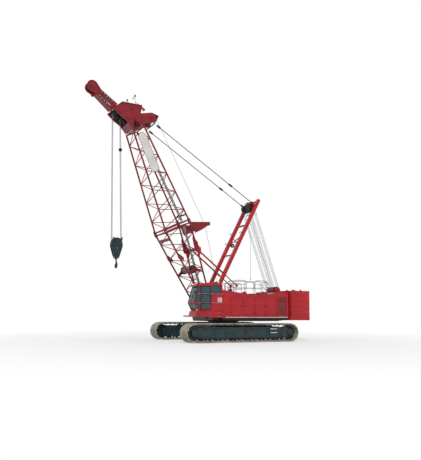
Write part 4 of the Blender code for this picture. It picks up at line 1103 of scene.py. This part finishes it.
def make_cab_inside():
    lo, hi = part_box("cab_seat")
    base, dark = Shape(), Shape()
    seat = cushion("seat_cushion", 2.08, 2.62, lo[1], hi[1], 2.52, 2.66)
    back = cushion("seat_back", 2.10, 2.78, lo[1] + 0.03, hi[1] - 0.03, 2.66, 2.76, tilt=math.radians(101),
                   bow=0.02)
    head = cushion("seat_headrest", 2.00, 2.20, lo[1] + 0.13, hi[1] - 0.13, 3.36, 3.44,
                   tilt=math.radians(98), bow=0.015)
    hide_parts("cab_seat")
    base.block(2.14, 2.50, 1.98, 2.32, 2.175, 2.30)
    base.plate([(2.18, 2.30), (2.46, 2.30), (2.40, 2.52), (2.24, 2.52)], 2.05, 2.25)
    for y in (lo[1] - 0.10, hi[1] + 0.10):
        base.block(2.20, 2.85, y - 0.07, y + 0.07, 2.66, 2.80)
        dark.pipe([(2.76, y, 2.80), (2.78, y, 2.96)], 0.010, 8)
        dark.turned((2.785, y, 3.0),
                    [(0.001, -0.05), (0.022, -0.05), (0.03, 0.0), (0.022, 0.045), (0.001, 0.05)], 14, "z")
    base.block(3.10, 3.30, 1.75, 1.95, 2.18, 2.86)
    base.plate([(3.05, 2.86), (3.34, 2.86), (3.30, 3.10), (3.16, 3.10)], 1.72, 1.98)
    for y in (2.02, 2.26):
        dark.plate([(3.05, 2.18), (3.30, 2.18), (3.36, 2.30), (3.30, 2.30)], y - 0.05, y + 0.05)
    make("cab_consoles", base, CAST, "upperworks", bevel=0.012)
    make("cab_levers", dark, BLACK, "upperworks")


def make_platform():
    lo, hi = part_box("cab_platform")
    tread, steps = Shape(), Shape()
    for k in range(12):
        x = 3.44 + 0.038 * k
        tread.block(x, x + 0.014, lo[1] + 0.05, hi[1] - 0.05, 1.800, 1.818)
    for y in (lo[1] + 0.03, hi[1] - 0.03):
        tread.block(3.42, 3.90, y - 0.02, y + 0.02, 1.80, 1.83)
    for z in (1.78, 2.02):
        steps.pipe([(1.55, hi[1] + 0.055, z - 0.02), (1.85, hi[1] + 0.055, z - 0.02)], 0.016, 8)
        for x in (1.55, 1.85):
            steps.pipe([(x, hi[1] - 0.01, z - 0.02), (x, hi[1] + 0.055, z - 0.02)], 0.016, 8)
    make("platform_tread", tread, TREAD, "upperworks")
    make("platform_steps", steps, GREY, "upperworks")


# ---- boom ---------------------------------------------------------------------------
# along, half width, back, front
BUTT = ((1.30, 1.0, -0.155, 0.40), (4.70, 1.0, -0.72, 0.80), (6.74, 1.0, -1.0, 1.0))
TOP = ((6.86, 1.0, -1.0, 1.0), (14.23, 0.75, -0.72, 0.16))
CHORD_R, LACE_R = 0.062, 0.028
HEAD_AXLES = ((15.72, 0.50), (15.16, 0.06))     # along, across


def section(stations, along):
    """Half width, back and front at a place along the boom."""
    for a, b in zip(stations, stations[1:]):
        if along <= b[0] or b is stations[-1]:
            t = (along - a[0]) / (b[0] - a[0])
            return [p + (q - p) * t for p, q in zip(a[1:], b[1:])]


def chord(stations, along, s, face):
    """Point on one of the four chords."""
    half, back, front = section(stations, along)
    return boom(along, back if face == "back" else front, s * half)


def lattice(shape, laces, stations, bays):
    """Four chords with zigzag lacing on each face and braced end frames."""
    a0, a1 = stations[0][0], stations[-1][0]
    corners = ((1, "back"), (1, "front"), (-1, "front"), (-1, "back"))
    for s, face in corners:
        shape.pipe([chord(stations, st[0], s, face) for st in stations], CHORD_R, 12)
    step = (a1 - a0 - 0.30) / bays
    for k, (p, q) in enumerate(zip(corners, corners[1:] + corners[:1])):
        ends = (p, q) if k % 2 else (q, p)
        for i in range(2 * bays):
            a, b = a0 + 0.15 + step * i / 2, a0 + 0.15 + step * (i + 1) / 2
            c0, c1 = ends[i % 2], ends[(i + 1) % 2]
            laces.pipe([chord(stations, a, *c0), chord(stations, b, *c1)], LACE_R, 8)
        for a in (a0 + 0.05, a1 - 0.05):
            laces.pipe([chord(stations, a, *p), chord(stations, a, *q)], 0.045, 10)
    for a in (a0 + 0.05, a1 - 0.05):
        laces.pipe([chord(stations, a, 1, "back"), chord(stations, a, -1, "front")], 0.03, 8)


def make_boom():
    for name, stations, bays in (("boom_butt", BUTT, 4), ("boom_top", TOP, 5)):
        chords, laces = Shape(), Shape()
        lattice(chords, laces, stations, bays)
        if name == "boom_butt":
            ear = ((-0.14, -0.09), (0.10, -0.15), (1.36, -0.24), (1.36, 0.48), (0.10, 0.15), (-0.14, 0.09))
            for s in (-1, 1):
                chords.sheet([boom(*p) for p in ear], s * 1.0 - 0.045, s * 1.0 + 0.045)
                chords.turned(boom(0, 0, s * 1.0),
                              [(0.05, -0.068), (0.13, -0.068), (0.13, 0.068), (0.05, 0.068)], 24)
        make(name + "_chords", chords, BOOM_RED, "boom", replaces=(name,))
        make(name + "_lacing", laces, BOOM_RED, "boom")
    # pinned joint between the sections
    lugs, pins = Shape(), Shape()
    lug = ((-0.26, -0.06), (-0.05, -0.10), (0.05, -0.10), (0.26, -0.06), (0.26, 0.06), (0.05, 0.10),
           (-0.05, 0.10), (-0.26, 0.06))
    for s in (-1, 1):
        for across in (-1.0, 1.0):
            for d in (-0.055, 0.0, 0.055):
                lugs.sheet([boom(6.80 + a, across + b) for a, b in lug],
                           s * 1.0 + d - 0.017, s * 1.0 + d + 0.017)
            pins.disc(boom(6.80, across, s * 1.0), 0.05, 0.10, 16)
    make("boom_joint_lugs", lugs, BOOM_RED, "boom", bevel=0.004)
    make("boom_joint_pins", pins, BARE, "boom")
    # broad cross plates near the joint and in the butt
    cross = Shape()
    for a, across, w in ((6.20, 0.95, 0.22), (7.35, -0.98, 0.12)):
        cross.beam(boom(a, across, -0.98), boom(a, across, 0.98), w, 0.05, tuple(boom(1, 0) - boom(0, 0)))
    for s in (-1, 1):
        for gusset in (((4.55, -0.66), (5.15, -0.98), (5.75, -0.80), (5.60, -0.70), (4.70, -0.50)),
                       ((4.40, 0.60), (4.70, 0.90), (5.15, 0.88), (5.00, 0.72), (4.60, 0.50))):
            cross.sheet([boom(*p) for p in gusset], s * 1.0 - 0.02, s * 1.0 + 0.02)
    make("boom_gussets", cross, BOOM_RED, "boom", bevel=0.004)
    make_walkway()
    make_panel()
    make_butt_winch()
    make_stops()
    make_line_guide()


def make_walkway():
    rails, tread = Shape(), Shape()
    for stations, a0, a1 in ((BUTT, 1.6, 6.6), (TOP, 7.0, 13.9)):
        n = int((a1 - a0) / 0.28)
        for k in range(n):
            a, b = a0 + (a1 - a0) * k / n, a0 + (a1 - a0) * (k + 1) / n
            p, q = (section(stations, t)[1] + 0.085 for t in (a, b))
            tread.beam(boom(a + 0.02, p), boom(b - 0.02, q), 0.30, 0.012)
            rails.pipe([boom(a, p + 0.02, -0.20), boom(a, p + 0.02, 0.20)], 0.012, 6)
        for y in (-0.17, 0.17):
            rails.pipe([boom(t, section(stations, t)[1] + 0.08, y) for t in (a0, (a0 + a1) / 2, a1)], 0.016,
                       8)
    make("boom_walkway_frame", rails, TREAD, "boom")
    make("boom_walkway_tread", tread, TREAD, "boom")


def make_panel():
    """Bare panel tied into the cab side face, with a round end at the top."""
    sheet, rim, ties = Shape(), Shape(), Shape()
    a0, a1, wide, thick = 11.00, 13.55, 0.30, 0.004

    def at(a, across, lift=0.0):
        half, back, front = section(TOP, a)
        return boom(a, (back + front) / 2 + across, half + 0.075 + lift)

    rows, cells = 30, 6
    loops = []
    for k in range(rows + 1):
        a = a0 + (a1 - a0 + wide) * k / rows
        over = max(0.0, a - a1) / wide
        w = wide * math.sqrt(max(0.02, 1 - over * over))
        line = [-w + 2 * w * t / cells for t in range(cells + 1)]
        wave = [0.010 * math.sin(k * 1.3 + 2 * t) * math.sin(math.pi * t / cells) for t in range(cells + 1)]
        loops.append([at(a, c, d) for c, d in zip(line, wave)]
                     + [at(a, c, d - thick) for c, d in zip(line[::-1], wave[::-1])])
    sheet.loft(loops)
    arc = [(a1 + wide * math.sin(t), wide * math.cos(t)) for t in (math.pi * k / 12 for k in range(13))]
    rim.pipe([at(a, c) for a, c in [(a0, wide)] + arc + [(a0, -wide)]], 0.014, 8, ring=True)
    for k in range(7):
        a = a0 + 0.1 + (a1 - a0 - 0.2) * k / 6
        half, back, front = section(TOP, a)
        ties.pipe([at(a, wide), boom(a + 0.05, front, half)], 0.007, 6)
        ties.pipe([at(a, -wide), boom(a + 0.05, back, half)], 0.007, 6)
    make("boom_side_panel", sheet, PALE, "boom")
    make("boom_side_panel_rim", rim, BOOM_RED, "boom")
    make("boom_side_panel_ties", ties, ROPE, "boom")


def make_butt_winch():
    lo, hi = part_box("butt_winch")
    centre = ((lo[0] + hi[0]) / 2, 0, (lo[2] + hi[2]) / 2)
    drum_pieces("butt_winch", "boom", centre, (hi[0] - lo[0]) / 2, 0.78, ("butt_winch",))
    arms = Shape()
    for s in (-1, 1):
        arms.sheet([boom(*p) for p in ((3.15, -0.40), (3.28, -0.42), (3.62, -0.06), (3.68, 0.20),
                                       (3.45, 0.60), (3.30, 0.58), (3.38, 0.10))],
                   s * 0.86 - 0.02, s * 0.86 + 0.02)
        arms.beam(boom(3.15, -0.38, s * 0.86), boom(3.15, -0.42, s * 1.0), 0.10, 0.08, (1, 0, 0))
        arms.beam(boom(3.40, 0.58, s * 0.86), boom(3.40, 0.60, s * 1.0), 0.10, 0.08, (1, 0, 0))
    make("butt_winch_arms", arms, BOOM_RED, "boom", bevel=0.004)


def make_stops():
    s_red, s_rod = Shape(), Shape()
    top = boom(4.70, -0.96)
    s_red.beam((top.x, -0.92, top.z), (top.x, 0.92, top.z), 0.20, 0.20, (0, 0, 1))
    end = Vector((-0.95, 0, 3.98))
    run = end - top
    for y in (-0.47, 0.47):
        off = Vector((0, y, 0))
        s_red.pipe([top + off, top + off + run * 0.70], 0.060, 16)
        s_red.pipe([top + off + run * 0.66, top + off + run * 0.70], 0.075, 16)
        s_rod.pipe([top + off + run * 0.70, top + off + run * 0.97], 0.040, 14)
        foot = end + off - run * 0.03
        s_red.disc(foot, 0.085, 0.05, 18, edge=0.01)
        s_red.beam(foot - run * 0.02, foot + run * 0.03, 0.05, 0.16)
    for s in (-1, 1):
        s_red.sheet([top + Vector((0.06, 0, 0.16)), boom(5.3, -0.86), boom(4.6, -0.66), boom(4.1, -0.62),
                     top + Vector((-0.10, 0, -0.12))],
                    s * 0.95 - 0.03, s * 0.95 + 0.03)
    make("boom_stop_tubes", s_red, RED, "boom", bevel=0.004, replaces=("boom_stops",))
    make("boom_stop_rods", s_rod, RED, "boom")


def make_line_guide():
    repaint(BOOM_RED, "line_guide")
    red, dark = Shape(), Shape()
    for s in (-1, 1):
        edge = [boom(*p) for p in ((6.71, -1.08), (6.14, -2.49), (6.00, -2.43), (5.89, -1.68),
                                   (5.87, -1.08))]
        for a, b in zip(edge, edge[1:]):
            red.beam((a.x, s * 0.99, a.z), (b.x, s * 0.99, b.z), 0.055, 0.02)
    for p, r in (((6.02, -2.30), 0.04), ((5.98, -1.40), 0.035), ((6.45, -1.35), 0.035)):
        red.pipe([boom(*p, -0.97), boom(*p, 0.97)], r, 12)
    dark.turned(boom(5.98, -2.46),
                [(0.02, -0.80), (0.075, -0.80), (0.05, -0.74), (0.05, 0.74), (0.075, 0.80), (0.02, 0.80)],
                18)
    for y in (-0.9, 0.9):
        dark.beam(boom(5.98, -2.46, y), boom(6.05, -2.32, y), 0.04, 0.08)
    make("line_guide_edges", red, BOOM_RED, "boom", bevel=0.003)
    make("line_guide_roller", dark, BLACK, "boom")


def make_head():
    repaint(BOOM_RED, "boom_head", "tip_arm", "pendant_bracket")
    red, dark, wheels, lights = Shape(), Shape(), Shape(), Shape()
    rim = ((14.32, 0.16), (15.00, 0.34), (15.45, 0.62), (16.05, 0.88), (16.27, 0.10), (15.61, -1.19),
           (15.15, -0.85), (14.32, -0.73), (14.32, -0.50), (14.62, -0.44), (14.90, -0.26),
           (14.62, -0.06), (14.32, 0.00))
    for s in (-1, 1):
        pts = [boom(*p) for p in rim]
        for a, b in zip(pts, pts[1:] + pts[:1]):
            red.beam((a.x, s * 0.765, a.z), (b.x, s * 0.765, b.z), 0.035, 0.05)
        for (a, b) in (((14.40, -0.30), (15.60, -0.30)), ((15.60, -0.30), (15.60, 0.60)),
                       ((15.60, -0.30), (15.50, -1.05))):
            p, q = boom(*a), boom(*b)
            red.beam((p.x, s * 0.760, p.z), (q.x, s * 0.760, q.z), 0.022, 0.04)
        for p in HEAD_AXLES:
            red.turned(boom(*p, s * 0.765),
                       [(0.02, -0.02), (0.15, -0.02), (0.15, 0.02), (0.10, 0.035), (0.02, 0.035)], 24)
        bolts(red, [boom(14.45 + 0.13 * k, -0.62 + 0.02 * k, s * 0.755) for k in range(7)])
        bolts(red, [boom(14.45 + 0.13 * k, 0.10 + 0.035 * k, s * 0.755) for k in range(5)])
    for along, across in HEAD_AXLES:
        for k in range(4):
            sheave(wheels, boom(along, across, -0.225 + 0.15 * k), 0.36, 0.10)
        wheels.disc(boom(along, across), 0.055, 0.655, 16)
    for p in ((16.16, 0.62), (15.30, 0.47), (14.86, 0.22)):
        dark.pipe([boom(*p, -0.62), boom(*p, 0.62)], 0.028, 10)
    # lever and plate at the front upper corner
    dark.pipe([boom(15.85, 0.80, 0.3), boom(15.72, 1.14, 0.3)], 0.022, 8)
    dark.disc(boom(15.71, 1.16, 0.3), 0.045, 0.03, 12)
    # bolted corner bracket at the rear top
    for y in (0.45, -0.50):
        red.sheet([boom(*p) for p in ((15.63, -1.18), (16.05, -0.95), (15.30, -1.45), (15.22, -1.25))],
                  y, y + 0.05)
    # masts with dark bodies
    for base, tip, body_at in (((7.80, 0.3, 16.50), (7.83, 0.3, 17.03), 0.80),
                               ((7.20, 0.3, 16.40), (7.25, 0.3, 17.42), 0.93)):
        a, b = Vector(base), Vector(tip)
        dark.pipe([a, b], 0.013, 8)
        m = a + (b - a) * body_at
        dark.pipe([m - Vector((0, 0, 0.09)), m - Vector((0, 0, 0.05)), m + Vector((0, 0, 0.05)),
                   m + Vector((0, 0, 0.09))],
                  [0.02, 0.055, 0.055, 0.02], 12)
    dark.pipe([Vector((7.25, 0.3, 17.36)), Vector((7.38, 0.3, 17.20)), Vector((7.40, 0.3, 17.08))],
              [0.014, 0.02, 0.045], 8)
    make("boom_head_flanges", red, BOOM_RED, "boom", bevel=0.003)
    make("boom_head_fittings", dark, BLACK, "boom")
    make("boom_head_wheels", wheels, SHEAVE, "boom", replaces=("head_sheaves_upper", "head_sheaves_lower"))
    # tip arm: flanged plates with rows of lightening holes
    tip_at, tip_r = (18.04, 1.48), 0.38
    arc = [(tip_at[0] + tip_r * math.cos(a), tip_at[1] + tip_r * math.sin(a))
           for a in (math.radians(d) for d in range(-75, 136, 15))]
    arm_edge = [(16.30, 0.30), (17.60, 1.02)] + arc + [(17.40, 1.46), (16.10, 0.92)]
    arm, holes, tip = Shape(), Shape(), Shape()
    for s in (-1, 1):
        pts = [boom(*p) for p in arm_edge]
        for a, b in zip(pts, pts[1:]):
            arm.beam((a.x, s * 0.290, a.z), (b.x, s * 0.290, b.z), 0.03, 0.035)
        arm.turned(boom(*tip_at, s * 0.285),
                   [(0.02, -0.02), (0.20, -0.02), (0.20, 0.02), (0.10, 0.035), (0.02, 0.035)], 26)
        for p, q, n in (((16.55, 0.50), (17.55, 1.07), 5), ((16.50, 0.99), (17.35, 1.34), 4)):
            for k in range(n):
                t = (k + 0.5) / n
                c = boom(p[0] + (q[0] - p[0]) * t, p[1] + (q[1] - p[1]) * t, s * 0.284)
                holes.turned(c, [(0.001, -0.003), (0.030, -0.003), (0.030, 0.002), (0.001, 0.002)], 16)
                arm.turned(c, [(0.030, -0.003), (0.040, -0.003), (0.040, 0.008), (0.030, 0.008)], 16)
    make("tip_arm_flanges", arm, BOOM_RED, "boom", bevel=0.003)
    make("tip_arm_holes", holes, PALE, "boom")
    for k in range(2):
        sheave(tip, boom(*tip_at, -0.075 + 0.15 * k), 0.30, 0.11)
    tip.disc(boom(*tip_at), 0.05, 0.205, 16)
    boss = Shape()
    boss.disc(boom(17.50, 1.62), 0.14, 0.12, 22, edge=0.03)
    make("tip_wheels", tip, SHEAVE, "boom", replaces=("tip_sheave",))
    make("tip_arm_boss", boss, BOOM_RED, "boom")
    # rear bracket: edge flanges and pins
    br, pins = Shape(), Shape()
    edge = ((15.12, -0.885), (14.92, -1.72), (14.55, -2.11), (14.21, -1.72), (14.36, -1.10), (14.62, -0.80))
    for s in (-1, 1):
        pts = [boom(*p) for p in edge]
        for a, b in zip(pts, pts[1:]):
            br.beam((a.x, s * 0.65, a.z), (b.x, s * 0.65, b.z), 0.12, 0.025)
        br.turned(boom(14.55, -1.55, s * 0.70), [(0.02, -0.02), (0.16, -0.02), (0.16, 0.03), (0.02, 0.03)],
                  24)
    for p, r in (((14.55, -1.95), 0.07), ((14.14, -1.56), 0.05), ((14.62, -1.55), 0.06)):
        pins.pipe([boom(*p, -0.80), boom(*p, 0.80)], r, 14)
    for k in range(2):
        sheave(pins, boom(14.55, -1.98, -0.09 + 0.18 * k), 0.20, 0.09, 24)
    make("rear_bracket_flanges", br, BOOM_RED, "boom", bevel=0.003)
    make("rear_bracket_pins", pins, SHEAVE, "boom")


# ---- mast ---------------------------------------------------------------------------
def make_mast():
    length, half, leg = 9.17, 0.775, 0.24
    m, dark, rods = Shape(), Shape(), Shape()
    for s in (-1, 1):
        section_pts = ((-0.12, 0.10), (0.22, leg / 2), (length - 0.05, leg / 2), (length, leg / 2 - 0.05))
        loops = []
        for a, h in section_pts:
            w = leg / 2 if a > 0.1 else 0.10
            loops.append([mast(a, -h, s * half - w), mast(a, h, s * half - w), mast(a, h, s * half + w),
                          mast(a, -h, s * half + w)])
        m.loft(loops)
        m.turned(mast(0, 0, s * half), [(0.05, -0.125), (0.135, -0.125), (0.135, 0.125), (0.05, 0.125)], 24)
        # doubler plates at the head and where the bars meet
        for a0, a1 in ((8.0, 9.08), (4.05, 4.60), (1.8, 2.2), (6.7, 7.1)):
            for d in (-1, 1):
                m.sheet([mast(a0, -0.10), mast(a1, -0.10), mast(a1, 0.10), mast(a0, 0.10)],
                        s * half + d * 0.122 - 0.006, s * half + d * 0.122 + 0.006)
        for a in (6.15, 5.30):
            dark.pipe([mast(a, 0.12, s * half), mast(a + 0.02, 0.22, s * half),
                       mast(a - 0.10, 0.30, s * half)], 0.022, 8)
        rods.pipe([mast(8.62, 0.10, s * half), mast(8.62, 0.36, s * half)], 0.06, 10)
    for a, r in ((2.0, 0.075), (6.9, 0.075), (9.02, 0.07), (4.3, 0.06)):
        m.pipe([mast(a, 0, -half), mast(a, 0, half)], r, 14)
    # cross link with a pulley between the legs
    for a, b in (((5.25, -1), (5.95, 1)), ((5.95, -1), (5.25, 1))):
        m.pipe([mast(a[0], 0, a[1] * 0.68), mast(b[0], 0, b[1] * 0.68)], 0.035, 10)
    sheave(dark, mast(5.15, 0.02), 0.15, 0.09, 22)
    wheels = Shape()
    for y in TACKLE_Y:
        sheave(wheels, mast(*MAST_AXLE, y), 0.33, 0.10)
    wheels.disc(mast(*MAST_AXLE), 0.06, 0.66, 16)
    for a, d in ((8.80, 0.32), (8.05, -0.22)):
        wheels.pipe([mast(a, d, -0.62), mast(a, d, 0.62)], 0.024, 8)
    make("mast_legs", m, RED, "mast", bevel=0.008, replaces=("mast",))
    make("mast_hooks", dark, BLACK, "mast")
    make("mast_pin_arms", rods, RED, "mast")
    make("mast_head_wheels", wheels, SHEAVE, "mast", replaces=("mast_sheaves",))
    # stay bars: steel bar lengths joined by link plates
    for label, s in SIDES:
        a, b = mast(8.62, 0.36, s * half), boom(14.10, -1.56, s * half)
        w = b - a
        bars, links = Shape(), Shape()
        joints = (0.0, 0.235, 0.965)
        for t0, t1 in zip(joints, joints[1:]):
            bars.pipe([a + w * (t0 + 0.012), a + w * (t1 - 0.012)], 0.030, 12)
        n = w.normalized().cross(Vector((0, 1, 0)))
        for t in joints:
            for d in (-0.045, 0.045):
                p, q = a + w * (t - 0.018 if t else 0.0), a + w * (t + 0.018)
                links.beam(p + Vector((0, d, 0)), q + Vector((0, d, 0)), 0.022, 0.105)
            for e in (-0.012, 0.012):
                c = a + w * (t + e) if t else a + w * (0.006 + e / 2)
                links.disc(c, 0.035, 0.075, 12)
        make("stay_bar_" + label, bars, BAR, "mast", replaces=("pendant_" + label,))
        make("stay_links_" + label, links, BLACK, "mast", bevel=0.004)
    # light line that hangs from the near leg
    line = Shape()
    line.pipe([(-1.88, half, 8.1), (-1.88, half, 4.5)], 0.012, 6)
    line.pipe([(-1.88, half, 4.62), (-1.88, half, 4.55), (-1.88, half, 4.42)], [0.01, 0.035, 0.01], 8)
    make("mast_hanging_line", line, ROPE, "mast")


# ---- ropes ----------------------------------------------------------------------------
def make_ropes():
    swing = Vector(PIN["tackle_swing"])
    head = mast(*MAST_AXLE)
    w = (head - swing).normalized()
    n = Vector((-w.z, 0, w.x))
    rope = Shape()
    steps = 12
    for y in TACKLE_Y:
        for d in (-1, 1):
            a, b = swing + n * (0.285 * d), head + n * (0.305 * d)
            pts = [a + (b - a) * (i / steps) + Vector((0, y, 0)) for i in range(steps + 1)]
            rope.pipe(pts, 0.014, 6)
    reach = (head - swing).length
    make("boom_hoist_ropes", rope, ROPE,
         ("tackle", "tackle_reach", swing + w * 0.3, swing + w * (reach - 0.5)),
         replaces=("hoist_rope_low", "hoist_rope_high"))
    # from the boom hoist drum up to the lower wheels
    feed = Shape()
    for y in (-0.46, 0.46):
        feed.pipe([(-3.15, y * 0.6, 2.63), (-4.20, y, 3.95)], 0.014, 6)
    make("boom_hoist_feed", feed, ROPE, "upperworks")
    # hoist line down the back of the boom
    tip, over = boom(14.55, -2.20), boom(5.98, -2.52)
    line = Shape()
    line.pipe([boom(15.95, 0.78, 0.0), boom(16.08, 0.45), boom(15.90, 0.16), tip], 0.014, 6)
    line.pipe([tip, over], 0.014, 6)
    make("hoist_line_upper", line, ROPE, "boom")
    drum = Vector((0.13, 0, 2.52))
    low = Shape()
    low.pipe([over + (drum - over) * (k / 16) for k in range(17)], 0.014, 6)
    make("hoist_line_lower", low, ROPE,
         ("upperworks", "boom", drum + (over - drum) * 0.1, drum + (over - drum) * 0.95))
    # falls to the hook block
    falls = Shape()
    for top, foot, y in (((8.80, 15.93), (8.68, 6.75), 0.06), ((8.20, 15.60), (7.97, 6.75), -0.06)):
        for dx in (-0.030, 0.030):
            pts = [(top[0] + dx + (foot[0] - top[0]) * k / 24, y,
                    top[1] + (foot[1] - top[1]) * k / 24) for k in range(25)]
            falls.pipe(pts, 0.019, 8)
    make("hoist_falls", falls, ROPE, ("hoist_line", "hook_block", (8.4, 0, 15.0), (8.4, 0, 7.3)),
         replaces=("hoist_fall",))
    ball = Shape()
    r = 0.13
    angles = [math.pi * (k / 12 - 0.5) for k in range(1, 12)]
    profile = [(0.022, -r), *((max(0.022, r * math.cos(a)), r * math.sin(a)) for a in angles), (0.022, r)]
    ball.turned((8.145, -0.06, 13.4), profile, 24, "z")
    make("limit_weight", ball, BLACK, "hoist_line")


# ---- hook block ------------------------------------------------------------------------
def make_hook():
    lo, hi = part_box("hook_block")
    cx, cz = (lo[0] + hi[0]) / 2, 6.72
    cheek = [(cx + 0.40 * math.cos(a), cz + 0.44 * math.sin(a))
             for a in (math.radians(d) for d in range(-10, 191, 20))]
    outline = cheek + [(cx - 0.42, 6.62), (cx - 0.30, 6.18), (cx - 0.19, 5.86), (cx - 0.10, 5.75),
                       (cx + 0.10, 5.75), (cx + 0.19, 5.86), (cx + 0.30, 6.18), (cx + 0.42, 6.62)]
    plates, wheels, pins = Shape(), Shape(), Shape()
    for s in (-1, 1):
        plates.plate(outline, s * 0.165 - 0.022, s * 0.165 + 0.022)
        inner = [(cx + (x - cx) * 0.74, cz - 0.30 + (z - cz + 0.30) * 0.74) for x, z in outline]
        plates.plate(inner, s * 0.190 - 0.008, s * 0.190 + 0.008)
        plates.disc((cx, s * 0.195, cz), 0.12, 0.012, 24, edge=0.004)
        bolts(plates, [(cx + 0.17 * math.cos(a), s * 0.198, cz + 0.17 * math.sin(a))
                       for a in (math.pi / 4 * k for k in range(8))], r=0.014, out=0.008)
        pins.disc((cx, s * 0.193, 6.42), 0.032, 0.016, 18, edge=0.004)
        plates.block(cx - 0.13, cx + 0.13, s * 0.165 - 0.03, s * 0.165 + 0.03, 5.72, 5.95)
        # small pins and the rope anchor at the upper corner
        pins.pipe([(cx - 0.20, s * 0.16, 5.80), (cx - 0.20, s * 0.19, 5.80)], 0.03, 10)
    plates.block(cx - 0.15, cx + 0.15, -0.15, 0.15, 5.72, 5.84)
    plates.beam((cx - 0.36, 0, 6.98), (cx - 0.40, 0, 7.19), 0.10, 0.10)
    plates.beam((cx + 0.18, 0, 7.10), (cx + 0.22, 0, 7.18), 0.30, 0.05)
    for k in range(2):
        sheave(wheels, (cx, -0.06 + 0.12 * k, cz), 0.37, 0.10)
    wheels.disc((cx, 0, cz), 0.055, 0.19, 16)
    make("hook_block_cheeks", plates, DARK, "hook_block", bevel=0.006, replaces=("hook_block",))
    make("hook_block_wheels", wheels, SHEAVE, "hook_block")
    make("hook_block_pins", pins, BARE, "hook_block")
    hook, latch = Shape(), Shape()
    z0 = 5.70
    pts = [(0, 0.0), (0, -0.10), (0.02, -0.20), (0.10, -0.30), (0.145, -0.42), (0.10, -0.545),
           (-0.02, -0.60), (-0.14, -0.55), (-0.19, -0.44), (-0.185, -0.36)]
    radii = [0.045, 0.046, 0.052, 0.060, 0.068, 0.075, 0.078, 0.062, 0.042, 0.018]
    path = smooth_line([(cx, y, z0 + z) for y, z in pts], 4)
    fat = []
    for k in range(len(pts) - 1):
        fat += [radii[k] + (radii[k + 1] - radii[k]) * i / 4 for i in range(4)]
    hook.pipe(path, fat + [radii[-1]], 14)
    hook.turned((cx, 0, z0), [(0.001, -0.06), (0.085, -0.06), (0.095, -0.04), (0.095, 0.0), (0.001, 0.0)],
                24, "z")
    latch.beam((cx, 0.02, z0 - 0.24), (cx, -0.165, z0 - 0.40), 0.05, 0.018, (1, 0, 0))
    make("crane_hook", hook, DARK, "hook", replaces=("hook",))
    make("hook_latch", latch, BARE, "hook")


make_camera()
make_light()
make_floor()
make_undercarriage()
make_bed()
make_engine()
for side_label, side_sign in SIDES:
    make_house(side_label, side_sign)
make_rails()
make_counterweight()
make_reeving_frame()
make_cab()
make_boom()
make_head()
make_mast()
make_ropes()
make_hook()
